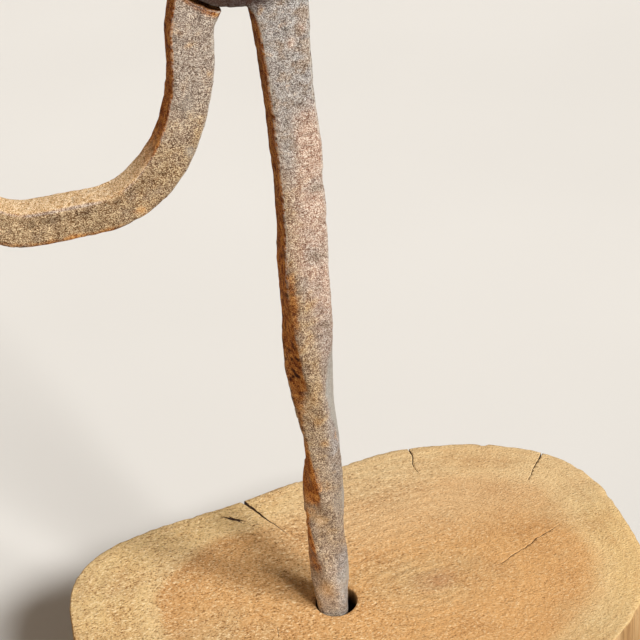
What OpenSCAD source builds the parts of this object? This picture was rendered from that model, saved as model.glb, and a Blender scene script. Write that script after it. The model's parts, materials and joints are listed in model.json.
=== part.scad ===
// Rushlight holder: forged iron nips with a candle arm, standing in a slice of a log.
// Frame: the stem's hole meets the underside of the base at the origin, +Z is up, the nips work in the XZ plane.

/* [Wooden base] */
// Reach of the log slice to the left of the stem
base_left = 57; // [48:1:70]
// Reach of the log slice to the right of the stem
base_right = 69; // [55:1:85]
// Reach of the log slice behind the stem
base_back = 37.6; // [32:0.2:55]
// Reach of the log slice in front of the stem
base_front = 43; // [32:1:55]
// Thickness of the log slice
base_thick = 38; // [34:1:60]
// Sideways lean of the oval, as a rise to the right
base_lean = 0.02; // [0:0.01:0.2]
// How much wider the slice is at its underside
base_flare = 1.5; // [0:0.1:3]
// Width of the worn edge at the top and bottom rim
base_edge = 0.9; // [0.3:0.1:2]
// Diameter of the bored hole
bore_d = 9; // [7:0.5:12]
// Depth of the bored hole
bore_depth = 30; // [20:1:33]
// How far down the drying checks run at the rim
check_depth = 26; // [8:1:32]

/* [Stem] */
// Height of the pivot above the top of the base
pivot_rise = 157; // [130:1:190]
// Offset of the pivot to the left of the hole
pivot_left = 8.5; // [5:0.5:11]
// Width of the forged bar of the stem
bar_w = 7.9; // [7:0.1:10]
// Depth of the forged bar of the stem, front to back
bar_d = 7.2; // [6.4:0.1:9]
// Radius of the bar's worn corners
bar_corner = 1; // [0.6:0.1:1.4]
// Radius of the corners where the shank is twisted and worn round
twist_corner = 2; // [1.2:0.1:2.6]
// Length of the twisted shank above the base
twist_len = 88; // [60:1:110]
// Turn of the twist from the straight shank down to the tang
twist_turn = 250; // [0:5:360]
// Bow of the hand-straightened shank to the left
shank_bow = 1; // [0:0.1:2]
// Width of the tang, as a share of the hole's diameter
tang_fit = 0.71; // [0.6:0.01:0.76]
// Clearance of the tang's nearest corner in the bored hole
tang_clear = 0.1; // [0.05:0.05:0.4]
// Width of the tang's blunt tip
tang_tip = 5; // [3:0.1:6]

/* [Pivot] */
// Diameter of the lapped bosses
boss_d = 23; // [19:0.5:26]
// Thickness of each lapped boss
boss_t = 3.6; // [3:0.1:4.5]
// Gap between the two lap faces
lap_gap = 0.2; // [0.1:0.05:0.4]
// Clearance of each shoulder round the other boss
shoulder_clear = 0.8; // [0.3:0.1:1.2]
// Diameter of the rivet
rivet_d = 4.8; // [4:0.1:7]
// Running clearance of the rivet in the bosses, on the radius
rivet_clear = 0.05; // [0.02:0.01:0.1]
// Diameter of the rivet's heads
rivet_head_d = 9; // [8:0.5:13]
// Height of the rivet's domed heads
rivet_head_h = 1.8; // [1.2:0.1:3]

/* [Jaws] */
// Length of the jaws above the pivot
jaw_len = 50; // [40:1:65]
// Length of the gripping faces
jaw_grip = 17; // [10:1:24]
// Gap between the gripping faces when shut
jaw_gap = 0.3; // [0.2:0.05:0.5]
// Half of the gap between the jaws at their roots
jaw_bow = 2; // [1:0.1:3.5]
// Width of a jaw at its root
jaw_root_w = 6.6; // [5:0.1:8]
// Width of a jaw at its tip
jaw_tip_w = 3.2; // [2.4:0.1:5]
// Depth of a jaw at its gripping face, front to back
jaw_d = 8.4; // [6:0.1:11]

/* [Counterbalance arm] */
// Width of the arm where it leaves the boss
arm_w = 8; // [6:0.1:9]
// Depth of the arm where it leaves the boss, front to back
arm_d = 6.2; // [5.5:0.1:8]
// Width and depth of the arm at its far end
arm_end = 5.9; // [5.6:0.1:8]
// Distance of the arm's leg from the pivot
arm_out = 9.1; // [8:0.1:16]
// Drop of the arm's leg from the pivot to the bend
arm_drop = 16; // [14:0.5:30]
// Half of the bend's span, at the middle of the bar
bend_r = 20; // [17:0.5:30]
// Depth of the bend below the leg, at the middle of the bar
bend_deep = 31; // [24:0.5:40]
// Straight run along the bottom of the bend
bend_flat = 10.5; // [1:0.1:20]
// Rise of the arm from the bend to the candle socket
arm_rise = 4; // [3:0.5:25]

/* [Candle socket] */
// Diameter of the socket's bore
socket_bore_d = 20; // [16:0.5:26]
// Thickness of the rolled sheet
socket_wall = 1.3; // [0.8:0.1:2]
// Height of the rolled wall
socket_h = 25; // [16:1:40]
// Width of the open seam of the rolled wall
seam_w = 1; // [0.5:0.1:2]
// Thickness of the socket's floor
floor_t = 2.4; // [2:0.1:3.5]
// Diameter of the arm's tenon in the floor
tenon_d = 4.4; // [3:0.1:5.4]
// Widening of the tenon where it is peened over, on the radius
peen = 1; // [0.5:0.1:1.5]
// Clearance of the tenon in the floor, on the radius
tenon_clear = 0.03; // [0.02:0.01:0.1]

/* [Hidden] */
$fn = 64;

IRON = "dimgray";
SHEET_IRON = "gray";
WOOD = "tan";

// Room past a surface, so that a cut goes clean through it
past = 1;
bore_r = bore_d / 2;
boss_r = boss_d / 2;
rivet_r = rivet_d / 2;
pivot = [-pivot_left, 0, base_thick + pivot_rise];

// The tang's width, the reach of its rounded corners, and how far it leans to the left in its hole
tang_w = tang_fit * bore_d;
tang_reach = sqrt(2) * (tang_w / 2 - twist_corner) + twist_corner;
tang_x = tang_reach + tang_clear - bore_r;

// Points on each rounded corner of a bar, and rings between two stations of a forged piece
corner_steps = 3;
rings_per_station = 4;

// Squareness of the rim at the back on the left and right and along the front, and the swell of its back
left_square = 4.3;
right_square = 3.4;
front_square = 2.4;
swell = 6;
swell_x = 27;
swell_w = 33;
rim_points = 96;

// Drying checks: bearing on the rim, heading inwards, length, width at the rim
CHECKS = [
    [108, -64, 17, 1.1],
    [50, -92, 8, 0.7],
    [25, -128, 10, 0.8],
];

// Far end of the arm: where the bend has turned up again, and the seat of the candle socket above it
arm_end_x = pivot.x - arm_out - 2 * bend_r - bend_flat;
seat_z = pivot.z - arm_drop + arm_rise;
socket_out_r = socket_bore_d / 2 + socket_wall;

// Stations of the stem: height above the base, sideways place, width, depth, share of the twist. The neck runs
// up into the right side of the boss.
neck_rise = pivot_rise - twist_len;
neck_edge = boss_r - pivot_left;
STEM = [
    [-bore_depth, tang_x, tang_tip, tang_tip, 1],
    [-bore_depth / 2, tang_x, tang_w, tang_w, 1],
    [0, tang_x, tang_w, tang_w, 1],
    [0.12 * twist_len, -0.8 * shank_bow, 0.9 * bar_w, 0.96 * bar_d, 0.84],
    [0.25 * twist_len, -0.9 * shank_bow, 0.95 * bar_w, 0.97 * bar_d, 0.66],
    [0.38 * twist_len, -0.7 * shank_bow, 0.94 * bar_w, 0.96 * bar_d, 0.47],
    [0.5 * twist_len, -0.2 * shank_bow, 0.95 * bar_w, 0.97 * bar_d, 0.31],
    [0.63 * twist_len, -1.1 * shank_bow, 0.98 * bar_w, 0.98 * bar_d, 0.25],
    [0.76 * twist_len, -1.6 * shank_bow, 1.02 * bar_w, bar_d, 0.12],
    [0.88 * twist_len, -1.2 * shank_bow, 1.06 * bar_w, bar_d, 0.02],
    [twist_len, -1.1 * shank_bow, 1.09 * bar_w, bar_d, 0],
    [twist_len + 0.2 * neck_rise, -0.6 * shank_bow, 1.07 * bar_w, bar_d, 0],
    [twist_len + 0.4 * neck_rise, -0.7 * shank_bow, 1.05 * bar_w, bar_d, 0],
    [twist_len + 0.58 * neck_rise, -1.2 * shank_bow, 1.01 * bar_w, bar_d, 0],
    [twist_len + 0.7 * neck_rise, neck_edge - 0.56 * bar_w, 1.07 * bar_w, bar_d, 0],
    [twist_len + 0.8 * neck_rise, neck_edge - 0.6 * bar_w, 1.24 * bar_w, bar_d, 0],
    [twist_len + 0.86 * neck_rise, neck_edge - 0.77 * bar_w, 1.55 * bar_w, bar_d, 0],
    [twist_len + 0.92 * neck_rise, neck_edge - 0.98 * bar_w, 1.96 * bar_w, bar_d, 0],
    [twist_len + 0.97 * neck_rise, neck_edge - 1.14 * bar_w, 2.24 * bar_w, bar_d, 0],
];

// Stations of a jaw: height above the pivot, set-back of its inner face, width, depth
JAW = [
    [0.2 * boss_r, 0, boss_r * 0.7, bar_d],
    [0.95 * boss_r, 0.6 * jaw_bow, 1.1 * jaw_root_w, bar_d],
    [1.7 * boss_r, jaw_bow, jaw_root_w, bar_d],
    [(jaw_len - jaw_grip + 1.7 * boss_r) / 2, 0.6 * jaw_bow, 0.98 * jaw_root_w, 0.5 * (bar_d + jaw_d)],
    [jaw_len - jaw_grip, 0, 0.9 * jaw_root_w, jaw_d],
    [jaw_len - jaw_grip / 2, 0, 0.5 * (0.9 * jaw_root_w + jaw_tip_w), jaw_d],
    [jaw_len, 0, jaw_tip_w, 0.8 * jaw_d],
];

// Row i of a table, held at its ends
function held(rows, i) = rows[min(max(i, 0), len(rows) - 1)];

// Smooth curve through the rows of a table, at row number u
function along(rows, u) =
    let (
        i = min(floor(u), len(rows) - 2),
        f = u - i,
        a = held(rows, i),
        b = held(rows, i + 1),
        ease = f * f * (3 - 2 * f),
        ta = (held(rows, i + 1) - held(rows, i - 1)) / 2,
        tb = (held(rows, i + 2) - held(rows, i)) / 2
    )
    (1 - ease) * a + ease * b + f * (1 - f) * ((1 - f) * ta - f * tb);

// A table of stations filled in with rings_per_station rows for each step
function filled(rows) = [
    for (k = [0 : (len(rows) - 1) * rings_per_station])
        along(rows, k / rings_per_station)
];

// Outline of a hammered square bar: a rectangle with rounded corners
function bar_section(w, d, r = bar_corner) = [
    for (q = [0 : 3], k = [0 : corner_steps])
        let (
            turn = 90 * q + 90 * k / corner_steps,
            x_side = (q == 0 || q == 3) ? 1 : -1,
            y_side = q < 2 ? 1 : -1
        )
        [x_side * (w / 2 - r) + r * cos(turn), y_side * (d / 2 - r) + r * sin(turn)]
];

// A section carried to a point, with its own width and depth directions
function ring(at, wide, deep, section) = [for (s = section) at + s[0] * wide + s[1] * deep];

// Solid through a row of rings that all have the same number of points
module loft(rings) {
    n = len(rings[0]);
    last = len(rings) - 1;
    polyhedron(
        points = [for (r = rings) each r],
        faces = [
            [for (i = [0 : n - 1]) i],
            [for (i = [n - 1 : -1 : 0]) last * n + i],
            for (k = [0 : last - 1], i = [0 : n - 1])
                let (a = k * n + i, b = k * n + (i + 1) % n)
                each [[a, a + n, b + n], [a, b + n, b]],
        ]
    );
}

// Cylinder along Y round the pivot, between two depths
module pivot_disc(r, from, to) {
    translate([pivot.x, from, pivot.z])
        rotate([-90, 0, 0])
            cylinder(r = r, h = to - from);
}

// One jaw: side is -1 for the fixed jaw on the left and 1 for the moving jaw on the right
module jaw(side) {
    loft([
        for (s = filled(JAW))
            let (middle = side * (jaw_gap / 2 + s[1] + s[2] / 2))
            ring(
                pivot + [middle, 0, s[0]], [1, 0, 0], [0, 1, 0],
                bar_section(s[2], s[3], min(bar_corner, 0.3 * s[2]))
            )
    ]);
}

// A forged lever of the nips: its bars, less the half that the other lever's boss takes, with its own boss and
// rivet hole. side is -1 for the lever that laps in front and 1 for the one behind.
module lapped_lever(side) {
    reach = bar_d + jaw_d;
    inner = lap_gap / 2;
    outer = inner + boss_t;
    difference() {
        union() {
            difference() {
                children();
                if (side < 0)
                    pivot_disc(boss_r + shoulder_clear, -inner, reach);
                else
                    pivot_disc(boss_r + shoulder_clear, -reach, inner);
            }
            if (side < 0)
                pivot_disc(boss_r, -outer, -inner);
            else
                pivot_disc(boss_r, inner, outer);
        }
        pivot_disc(rivet_r + rivet_clear, -reach, reach);
    }
}

// Rim of the log slice at a bearing: an oval with squarer left end, leaning to the right, with a swollen back
function rim(bearing, grow = 0) =
    let (
        c = cos(bearing),
        s = sin(bearing),
        n = s < 0 ? front_square : c < 0 ? left_square : right_square,
        across = abs(c) / (c < 0 ? base_left : base_right),
        deep = abs(s) / (s < 0 ? base_front : base_back),
        r = pow(pow(across, n) + pow(deep, n), -1 / n) + grow,
        bump = swell * min(max(0, 3 * s), 1) * exp(-pow((r * c - swell_x) / swell_w, 2))
    )
    [r * c, r * s + base_lean * r * c + bump];

function rim_ring(z, grow) = [
    for (k = [0 : rim_points - 1])
        let (p = rim(360 * k / rim_points, grow))
        [p.x, p.y, z]
];

module log_slice() {
    loft([
        rim_ring(0, base_flare - base_edge),
        rim_ring(base_edge, base_flare),
        rim_ring(base_thick - base_edge, 0),
        rim_ring(base_thick, -base_edge),
    ]);
}

// Wedge of a drying check, open at the rim and closed towards the heart
module drying_check(bearing, heading, length, mouth) {
    overshoot = 5;
    full = length + overshoot;
    translate([0, 0, base_thick - check_depth])
        linear_extrude(check_depth + past)
            translate(rim(bearing))
                rotate(heading)
                    polygon([
                        [length, 0],
                        [-overshoot, mouth / 2 * full / length],
                        [-overshoot, -mouth / 2 * full / length],
                    ]);
}

module wood_base() {
    color(WOOD)
        difference() {
            log_slice();
            translate([0, 0, base_thick - bore_depth])
                cylinder(r = bore_r, h = bore_depth + past);
            for (c = CHECKS)
                drying_check(c[0], c[1], c[2], c[3]);
        }
}

module stem_shank() {
    loft([
        for (s = filled(STEM))
            let (
                turn = twist_turn * s[4],
                worn = min(max(0, 4 * s[4]), 1),
                corner = bar_corner + (twist_corner - bar_corner) * worn
            )
            ring(
                [s[1], 0, base_thick + s[0]],
                [cos(turn), sin(turn), 0], [-sin(turn), cos(turn), 0],
                bar_section(s[2], s[3], min(corner, 0.4 * s[2]))
            )
    ]);
}

module stem() {
    color(IRON)
        lapped_lever(-1) {
            stem_shank();
            jaw(-1);
        }
}

// Middle of the arm: a curve out of the boss, two quarters of an oval round the bend, and a straight rise
leg_steps = 14;
turn_steps = 14;
rise_steps = 2;
function leg_curve(t) =
    let (
        p0 = [-0.5 * arm_out, 0],
        p1 = [-0.8 * arm_out, -0.5 * arm_drop],
        p2 = [-0.95 * arm_out, -0.78 * arm_drop],
        p3 = [-arm_out, -arm_drop]
    )
    pow(1 - t, 3) * p0 + 3 * t * pow(1 - t, 2) * p1 + 3 * t * t * (1 - t) * p2 + pow(t, 3) * p3;
function arm_path() = [
    for (k = [0 : leg_steps])
        leg_curve(k / leg_steps),
    for (half = [0, 1], k = [half == 0 ? 1 : 0 : turn_steps])
        let (turn = 90 * (half + k / turn_steps))
        [bend_r * cos(turn) - bend_r - arm_out - half * bend_flat, -arm_drop - bend_deep * sin(turn)],
    for (k = [1 : rise_steps])
        [-arm_out - 2 * bend_r - bend_flat, -arm_drop + arm_rise * k / rise_steps],
];

module arm_bar() {
    path = arm_path();
    last = len(path) - 1;
    loft([
        for (k = [0 : last])
            let (
                before = path[max(k - 1, 0)],
                after = k == last ? path[k] + [0, 1] : path[k + 1],
                step = k == last ? [0, 1] : after - before,
                along_bar = step / norm(step),
                far = pow(k / last, 1.6),
                flare = 0.9 * arm_w * pow(max(0, 1 - k / (0.9 * leg_steps)), 2),
                w = arm_w + (arm_end - arm_w) * far + flare,
                d = arm_d + (arm_end - arm_d) * far
            )
            ring(
                pivot + [path[k][0] + flare / 2, 0, path[k][1]],
                [along_bar[1], 0, -along_bar[0]], [0, 1, 0],
                bar_section(w, d)
            )
    ]);
}

// The tenon's outline above its seat: straight through the floor, then spread flush into the floor's countersink
function tenon_profile(clear, extra) = [
    [0, -extra],
    [tenon_d / 2 + clear, -extra],
    [tenon_d / 2 + clear, floor_t / 2],
    [tenon_d / 2 + clear + peen, floor_t],
    [tenon_d / 2 + clear + peen, floor_t + (clear > 0 ? past : 0)],
    [0, floor_t + (clear > 0 ? past : 0)],
];

module counterbalance_arm() {
    color(IRON) {
        lapped_lever(1) {
            arm_bar();
            jaw(1);
        }
        translate([arm_end_x, 0, seat_z])
            rotate_extrude()
                polygon(tenon_profile(0, past));
    }
}

// Half outline of a domed rivet head standing on a face at height z, turned up or down by side
module rivet_head(z, side) {
    dome_r = (pow(rivet_head_d / 2, 2) + pow(rivet_head_h, 2)) / (2 * rivet_head_h);
    translate([0, z])
        mirror([0, side < 0 ? 1 : 0])
            intersection() {
                translate([0, rivet_head_h - dome_r])
                    circle(r = dome_r);
                square([rivet_head_d / 2, rivet_head_h]);
            }
}

module pivot_rivet() {
    front = -(lap_gap / 2 + boss_t);
    back = lap_gap / 2 + boss_t + lap_gap;
    color(IRON)
        translate(pivot)
            rotate([-90, 0, 0])
                rotate_extrude() {
                    translate([0, front])
                        square([rivet_r, back - front]);
                    rivet_head(front, -1);
                    rivet_head(back, 1);
                }
}

module socket_floor() {
    color(SHEET_IRON)
        translate([arm_end_x, 0, seat_z])
            difference() {
                cylinder(r = socket_out_r, h = floor_t);
                rotate_extrude()
                    polygon(tenon_profile(tenon_clear, past));
            }
}

module candle_socket() {
    color(SHEET_IRON)
        translate([arm_end_x, 0, seat_z + floor_t])
            difference() {
                cylinder(r = socket_out_r, h = socket_h);
                translate([0, 0, -past])
                    cylinder(r = socket_bore_d / 2, h = socket_h + 2 * past);
                translate([-socket_out_r - past, -seam_w / 2, -past])
                    cube([socket_wall + socket_bore_d / 4, seam_w, socket_h + 2 * past]);
            }
}

wood_base();
stem();
counterbalance_arm();
pivot_rivet();
candle_socket();
socket_floor();
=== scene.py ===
"""Rushlight holder: forged iron nips with a candle arm, standing in a slice of a log.

Each piece is worked out with numpy in millimetres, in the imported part's own frame, and is written to its
mesh in metres. The levers of the nips are lofts that are joined, cut back at the lap and given a forged,
rusted relief.
"""

import json
import logging
import math
from dataclasses import dataclass, replace
from enum import Enum
from itertools import product
from typing import Any, ClassVar, Sequence

import bpy
import numpy as np
from mathutils import Matrix, Vector

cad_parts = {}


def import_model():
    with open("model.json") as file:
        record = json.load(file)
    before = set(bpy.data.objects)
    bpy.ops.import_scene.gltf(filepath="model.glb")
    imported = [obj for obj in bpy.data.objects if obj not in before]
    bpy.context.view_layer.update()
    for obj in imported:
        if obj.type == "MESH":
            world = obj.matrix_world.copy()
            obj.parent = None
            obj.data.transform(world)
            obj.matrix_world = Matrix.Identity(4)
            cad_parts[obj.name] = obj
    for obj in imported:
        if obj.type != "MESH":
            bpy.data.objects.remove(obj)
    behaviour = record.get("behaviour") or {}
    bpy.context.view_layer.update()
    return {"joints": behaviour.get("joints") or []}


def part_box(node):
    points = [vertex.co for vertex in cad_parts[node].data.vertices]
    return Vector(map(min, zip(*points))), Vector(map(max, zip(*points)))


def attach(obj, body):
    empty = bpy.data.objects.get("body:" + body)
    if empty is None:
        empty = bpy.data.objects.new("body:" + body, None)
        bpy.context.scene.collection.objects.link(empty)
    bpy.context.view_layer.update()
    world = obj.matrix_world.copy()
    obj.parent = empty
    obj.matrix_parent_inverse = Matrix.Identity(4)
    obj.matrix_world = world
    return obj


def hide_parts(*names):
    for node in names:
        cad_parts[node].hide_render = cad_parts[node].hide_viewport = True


Array = np.ndarray
Mesh = bpy.types.Mesh
Socket = bpy.types.NodeSocket
Tree = bpy.types.NodeTree
Rows = tuple[tuple[float, ...], ...]
Triple = tuple[float, float, float]
Tones = tuple[str, str, str]
MM = 0.001
IMAGE_SIDE = 640
log = logging.getLogger("rushlight_holder")


class Joining(Enum):
    """How one shell meets the piece that it is added to."""

    WELD = "UNION"
    CUT = "DIFFERENCE"


class Side(Enum):
    """Which lever of the nips: the stem laps in front with the left jaw, the arm behind with the right."""

    FRONT = -1
    BEHIND = 1


def linear(hex_colour: str) -> tuple[float, float, float, float]:
    """Turns an sRGB hex value into a linear colour.

    Args:
        hex_colour: Six hex digits after a hash sign.

    Returns:
        Linear red, green and blue, and an alpha of one.
    """
    srgb = np.array([int(hex_colour[k:k + 2], 16) for k in (1, 3, 5)]) / 255
    value = np.where(srgb <= 0.04045, srgb / 12.92, ((srgb + 0.055) / 1.055) ** 2.4)
    return (*value.tolist(), 1.0)


def add(
    tree: Tree,
    kind: str,
    sockets: Sequence[Any] | dict[Any, Any] = (),
    stops: Sequence[tuple[float, str]] = (),
    take: int | str = 0,
    **settings: Any,
) -> Socket | None:
    """Adds one node with its settings, its links and its colour stops.

    Args:
        tree: The node tree that takes the node.
        kind: The node's type, without its ShaderNode prefix.
        sockets: For the inputs, in order or by name: a constant, a hex colour or the output that feeds it.
        stops: Places and hex colours of a colour ramp.
        take: Number or name of the output that is handed on.
        **settings: The node's own properties.

    Returns:
        That output, or nothing where the node has none.
    """
    node = tree.nodes.new("ShaderNode" + kind)
    for name, value in settings.items():
        setattr(node, name, value)
    for name, value in sockets.items() if isinstance(sockets, dict) else enumerate(sockets):
        if isinstance(value, Socket):
            tree.links.new(value, node.inputs[name])
        else:
            node.inputs[name].default_value = linear(value) if isinstance(value, str) else value
    if stops:
        ramp = node.color_ramp.elements
        while len(ramp) < len(stops):
            ramp.new(0.5)
        for element, (place, colour) in zip(ramp, stops):
            element.position = place
            element.color = linear(colour)
    return node.outputs[take] if node.outputs else None


def placed(name: str, data: bpy.types.ID) -> bpy.types.Object:
    """Puts a mesh, a light or a camera into the scene.

    Args:
        name: Name of the object.
        data: What it shows.

    Returns:
        The object, at the origin.
    """
    thing = bpy.data.objects.new(name, data)
    bpy.context.scene.collection.objects.link(thing)
    return thing


class Field:
    """Smooth random field: random numbers on a repeating lattice, blended between its corners."""

    def __init__(self, seed: int, side: int = 32) -> None:
        """Draws the lattice, with so many points on each axis before it repeats."""
        self.side = side
        self.lattice = np.random.default_rng(seed).uniform(-1, 1, (side, side, side))

    def at(self, points: Array, pitch: float) -> Array:
        """Samples the field.

        Args:
            points: Places in millimetres, one row each.
            pitch: Distance between lattice points in millimetres.

        Returns:
            One value from -1 to 1 for each point: the eight corners round it, weighed by eased nearness.
        """
        place = points / pitch
        low = np.floor(place).astype(int)
        part = eased(place - low, 0, 1)
        total = np.zeros(len(points))
        for corner in product((0, 1), repeat=3):
            weight = np.where(corner, part, 1 - part).prod(axis=1)
            i, j, k = ((low + corner) % self.side).T
            total += weight * self.lattice[i, j, k]
        return total


def eased(value: Array, low: float, high: float) -> Array:
    """Rises smoothly from 0 at low to 1 at high."""
    share = np.clip((value - low) / (high - low), 0, 1)
    return share * share * (3 - 2 * share)


def along(value: Array, pairs: Rows) -> Array:
    """Reads a line that runs straight from each pair of place and share to the next."""
    return np.interp(value, *np.array(pairs).T)


def spots(across: Array, up: Array, rows: Rows) -> Array:
    """Adds up soft oval patches: each falls away as exp(-distance squared), in its own widths and heights.

    Args:
        across: First coordinate of each point.
        up: Second coordinate of each point.
        rows: For each patch, its two coordinates, its half width, its half height and its strength.

    Returns:
        The strength at each point.
    """
    a, b, wide, high, strength = np.array(rows).T
    fall = ((across[:, None] - a) / wide) ** 2 + ((up[:, None] - b) / high) ** 2
    return np.exp(-fall) @ strength


@dataclass
class Shell:
    """A closed surface of quads and triangles, in millimetres."""

    points: Array
    quads: Array
    tris: Array

    def outward(self) -> "Shell":
        """Turns the faces round where the enclosed volume, summed over the triangles, comes out negative.

        Returns:
            A shell whose faces point outwards.
        """
        corners = np.vstack([self.tris, self.quads[:, [0, 1, 2]], self.quads[:, [0, 2, 3]]])
        a, b, c = self.points[corners].transpose(1, 0, 2)
        if np.einsum("ij,ij->", a, np.cross(b, c)) < 0:
            return Shell(self.points, self.quads[:, ::-1], self.tris[:, ::-1])
        return self

    def mesh(self, name: str, finish: int = 0) -> Mesh:
        """Writes the shell to a mesh in metres.

        Args:
            name: Name of the mesh.
            finish: Number of the finish that its faces take.

        Returns:
            The mesh, shaded smooth, with room for two finishes.
        """
        mesh = bpy.data.meshes.new(name)
        mesh.vertices.add(len(self.points))
        mesh.vertices.foreach_set("co", (self.points * MM).astype(np.float32).ravel())
        corners = np.concatenate([self.quads.ravel(), self.tris.ravel()]).astype(np.int32)
        sizes = np.repeat([4, 3], [len(self.quads), len(self.tris)])
        mesh.loops.add(len(corners))
        mesh.loops.foreach_set("vertex_index", corners)
        mesh.polygons.add(len(sizes))
        mesh.polygons.foreach_set("loop_start", (np.cumsum(sizes) - sizes).astype(np.int32))
        mesh.materials.append(None)
        mesh.materials.append(None)
        mesh.polygons.foreach_set("material_index", np.full(len(sizes), finish, np.int32))
        mesh.update(calc_edges=True)
        mesh.shade_smooth()
        return mesh


def lofted(rings: Array, endless: bool = False) -> Shell:
    """Joins a row of rings with quads between neighbours, and a fan to a middle point at each end.

    Args:
        rings: Points as ring, place on the ring, and X, Y, Z.
        endless: Whether the last ring meets the first, so that there are no ends.

    Returns:
        The closed shell.
    """
    rows, columns = rings.shape[:2]
    points = rings.reshape(-1, 3)
    here = np.arange(rows * columns).reshape(rows, columns)
    beside = np.roll(here, -1, axis=1)
    quads = np.stack([here, beside, np.roll(beside, -1, axis=0), np.roll(here, -1, axis=0)], axis=-1)
    if endless:
        return Shell(points, quads.reshape(-1, 4), np.empty((0, 3), int)).outward()
    poles = np.full((2, columns), rows * columns) + [[0], [1]]
    tris = np.concatenate([
        np.stack([poles[0], beside[0], here[0]], axis=-1),
        np.stack([poles[1], here[-1], beside[-1]], axis=-1),
    ])
    points = np.concatenate([points, rings[0].mean(0)[None], rings[-1].mean(0)[None]])
    return Shell(points, quads[:-1].reshape(-1, 4), tris).outward()


def turned(radii: Array, rises: Array, steps: int, axis: int = 2) -> Array:
    """Turns a half outline round an axis: each pair of radius and rise becomes a circle.

    Args:
        radii: Radius of each circle.
        rises: Its place along the axis.
        steps: Points on each circle.
        axis: Number of the axis: 1 for Y, 2 for Z.

    Returns:
        Rings for lofted(), round the origin.
    """
    turn = np.linspace(0, math.tau, steps, endpoint=False)
    sides = [radii[:, None] * np.cos(turn), radii[:, None] * np.sin(turn)]
    sides.insert(axis, rises[:, None])
    return np.stack(np.broadcast_arrays(*sides), axis=-1)


def quarter(radius: float, steps: int = 5) -> Array:
    """Lists a quarter circle, from the end of its first axis to the end of its second."""
    turn = np.linspace(0, np.pi / 2, steps)
    return radius * np.stack([np.cos(turn), np.sin(turn)])


def filled(rows: Array, per_step: int) -> Array:
    """Fills in a table of stations: an eased blend of two rows plus a share of the slopes at each of them.

    Args:
        rows: Stations, one row each.
        per_step: New rows for each step.

    Returns:
        The finer table, which still passes through every station.
    """
    last = len(rows) - 1
    u = np.linspace(0, last, last * per_step + 1)
    i = np.minimum(u.astype(int), last - 1)
    f = (u - i)[:, None]
    before, a, b, after = (rows[np.clip(i + k, 0, last)] for k in (-1, 0, 1, 2))
    ease = eased(f, 0, 1)
    return (1 - ease) * a + ease * b + f * (1 - f) * ((1 - f) * (b - before) - f * (after - a)) / 2


def bar_rings(
    middle: Array, wide: Array, deep: Array, w: Array, d: Array, corner: float | Array, steps: int = 5,
) -> Array:
    """Carries the section of a hammered bar along a path: a rectangle whose corners are quarter circles.

    Args:
        middle: Middle of each section.
        wide: Unit direction of each section's width.
        deep: Unit direction of each section's depth.
        w: Width of each section.
        d: Depth of each section.
        corner: Radius of the worn corners, at most 0.4 of the width.
        steps: Points on each corner.

    Returns:
        Rings for lofted().
    """
    side, part = np.divmod(np.arange(4 * steps), steps)
    turn = np.pi / 2 * (side + part / (steps - 1))
    x_side = np.where((side == 0) | (side == 3), 1, -1)
    y_side = np.where(side < 2, 1, -1)
    r = np.minimum(corner, 0.4 * w)[:, None]
    across = x_side * (w[:, None] / 2 - r) + r * np.cos(turn)
    depth = y_side * (d[:, None] / 2 - r) + r * np.sin(turn)
    return middle[:, None] + across[..., None] * wide[:, None] + depth[..., None] * deep[:, None]


def combined(
    name: str, first: Shell, steps: Sequence[tuple[Joining, Shell]], voxel: float = 0, finish: int = 0,
) -> Mesh:
    """Joins shells to one mesh, in order, and evens out its facets.

    Args:
        name: Name of the mesh.
        first: The shell that the others are added to.
        steps: How each of the others meets it.
        voxel: Size of the even facets in millimetres, or 0 to keep the shells' own.
        finish: Number of the finish that the others give to the faces that they leave.

    Returns:
        One closed mesh.
    """
    body = placed(name, first.mesh(name))
    tools = [body]
    for joining, shell in steps:
        tools.append(placed(name + "_tool", shell.mesh(name + "_tool", finish)))
        join = body.modifiers.new("join", "BOOLEAN")
        join.operation = joining.value
        join.solver = "MANIFOLD"
        join.object = tools[-1]
    if voxel:
        even = body.modifiers.new("even", "REMESH")
        even.mode = "VOXEL"
        even.voxel_size = voxel * MM
    shapes = [tool.data for tool in tools]
    mesh = bpy.data.meshes.new_from_object(body.evaluated_get(bpy.context.evaluated_depsgraph_get()))
    for tool in tools:
        bpy.data.objects.remove(tool)
    for shape in shapes:
        bpy.data.meshes.remove(shape)
    mesh.name = name
    mesh.shade_smooth()
    return mesh


def mesh_points(mesh: Mesh) -> tuple[Array, Array]:
    """Reads a mesh.

    Args:
        mesh: The mesh.

    Returns:
        Its points in millimetres and its normals.
    """
    points = np.empty((len(mesh.vertices), 3), np.float32)
    normals = np.empty_like(points)
    mesh.vertices.foreach_get("co", points.ravel())
    mesh.vertex_normals.foreach_get("vector", normals.ravel())
    return points.astype(float) / MM, normals.astype(float)


def store(mesh: Mesh, **fields: Array) -> None:
    """Keeps one number for each point under each name, for the finish to read."""
    for name, values in fields.items():
        mesh.attributes.new(name, "FLOAT", "POINT").data.foreach_set("value", values.astype(np.float32))


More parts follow.
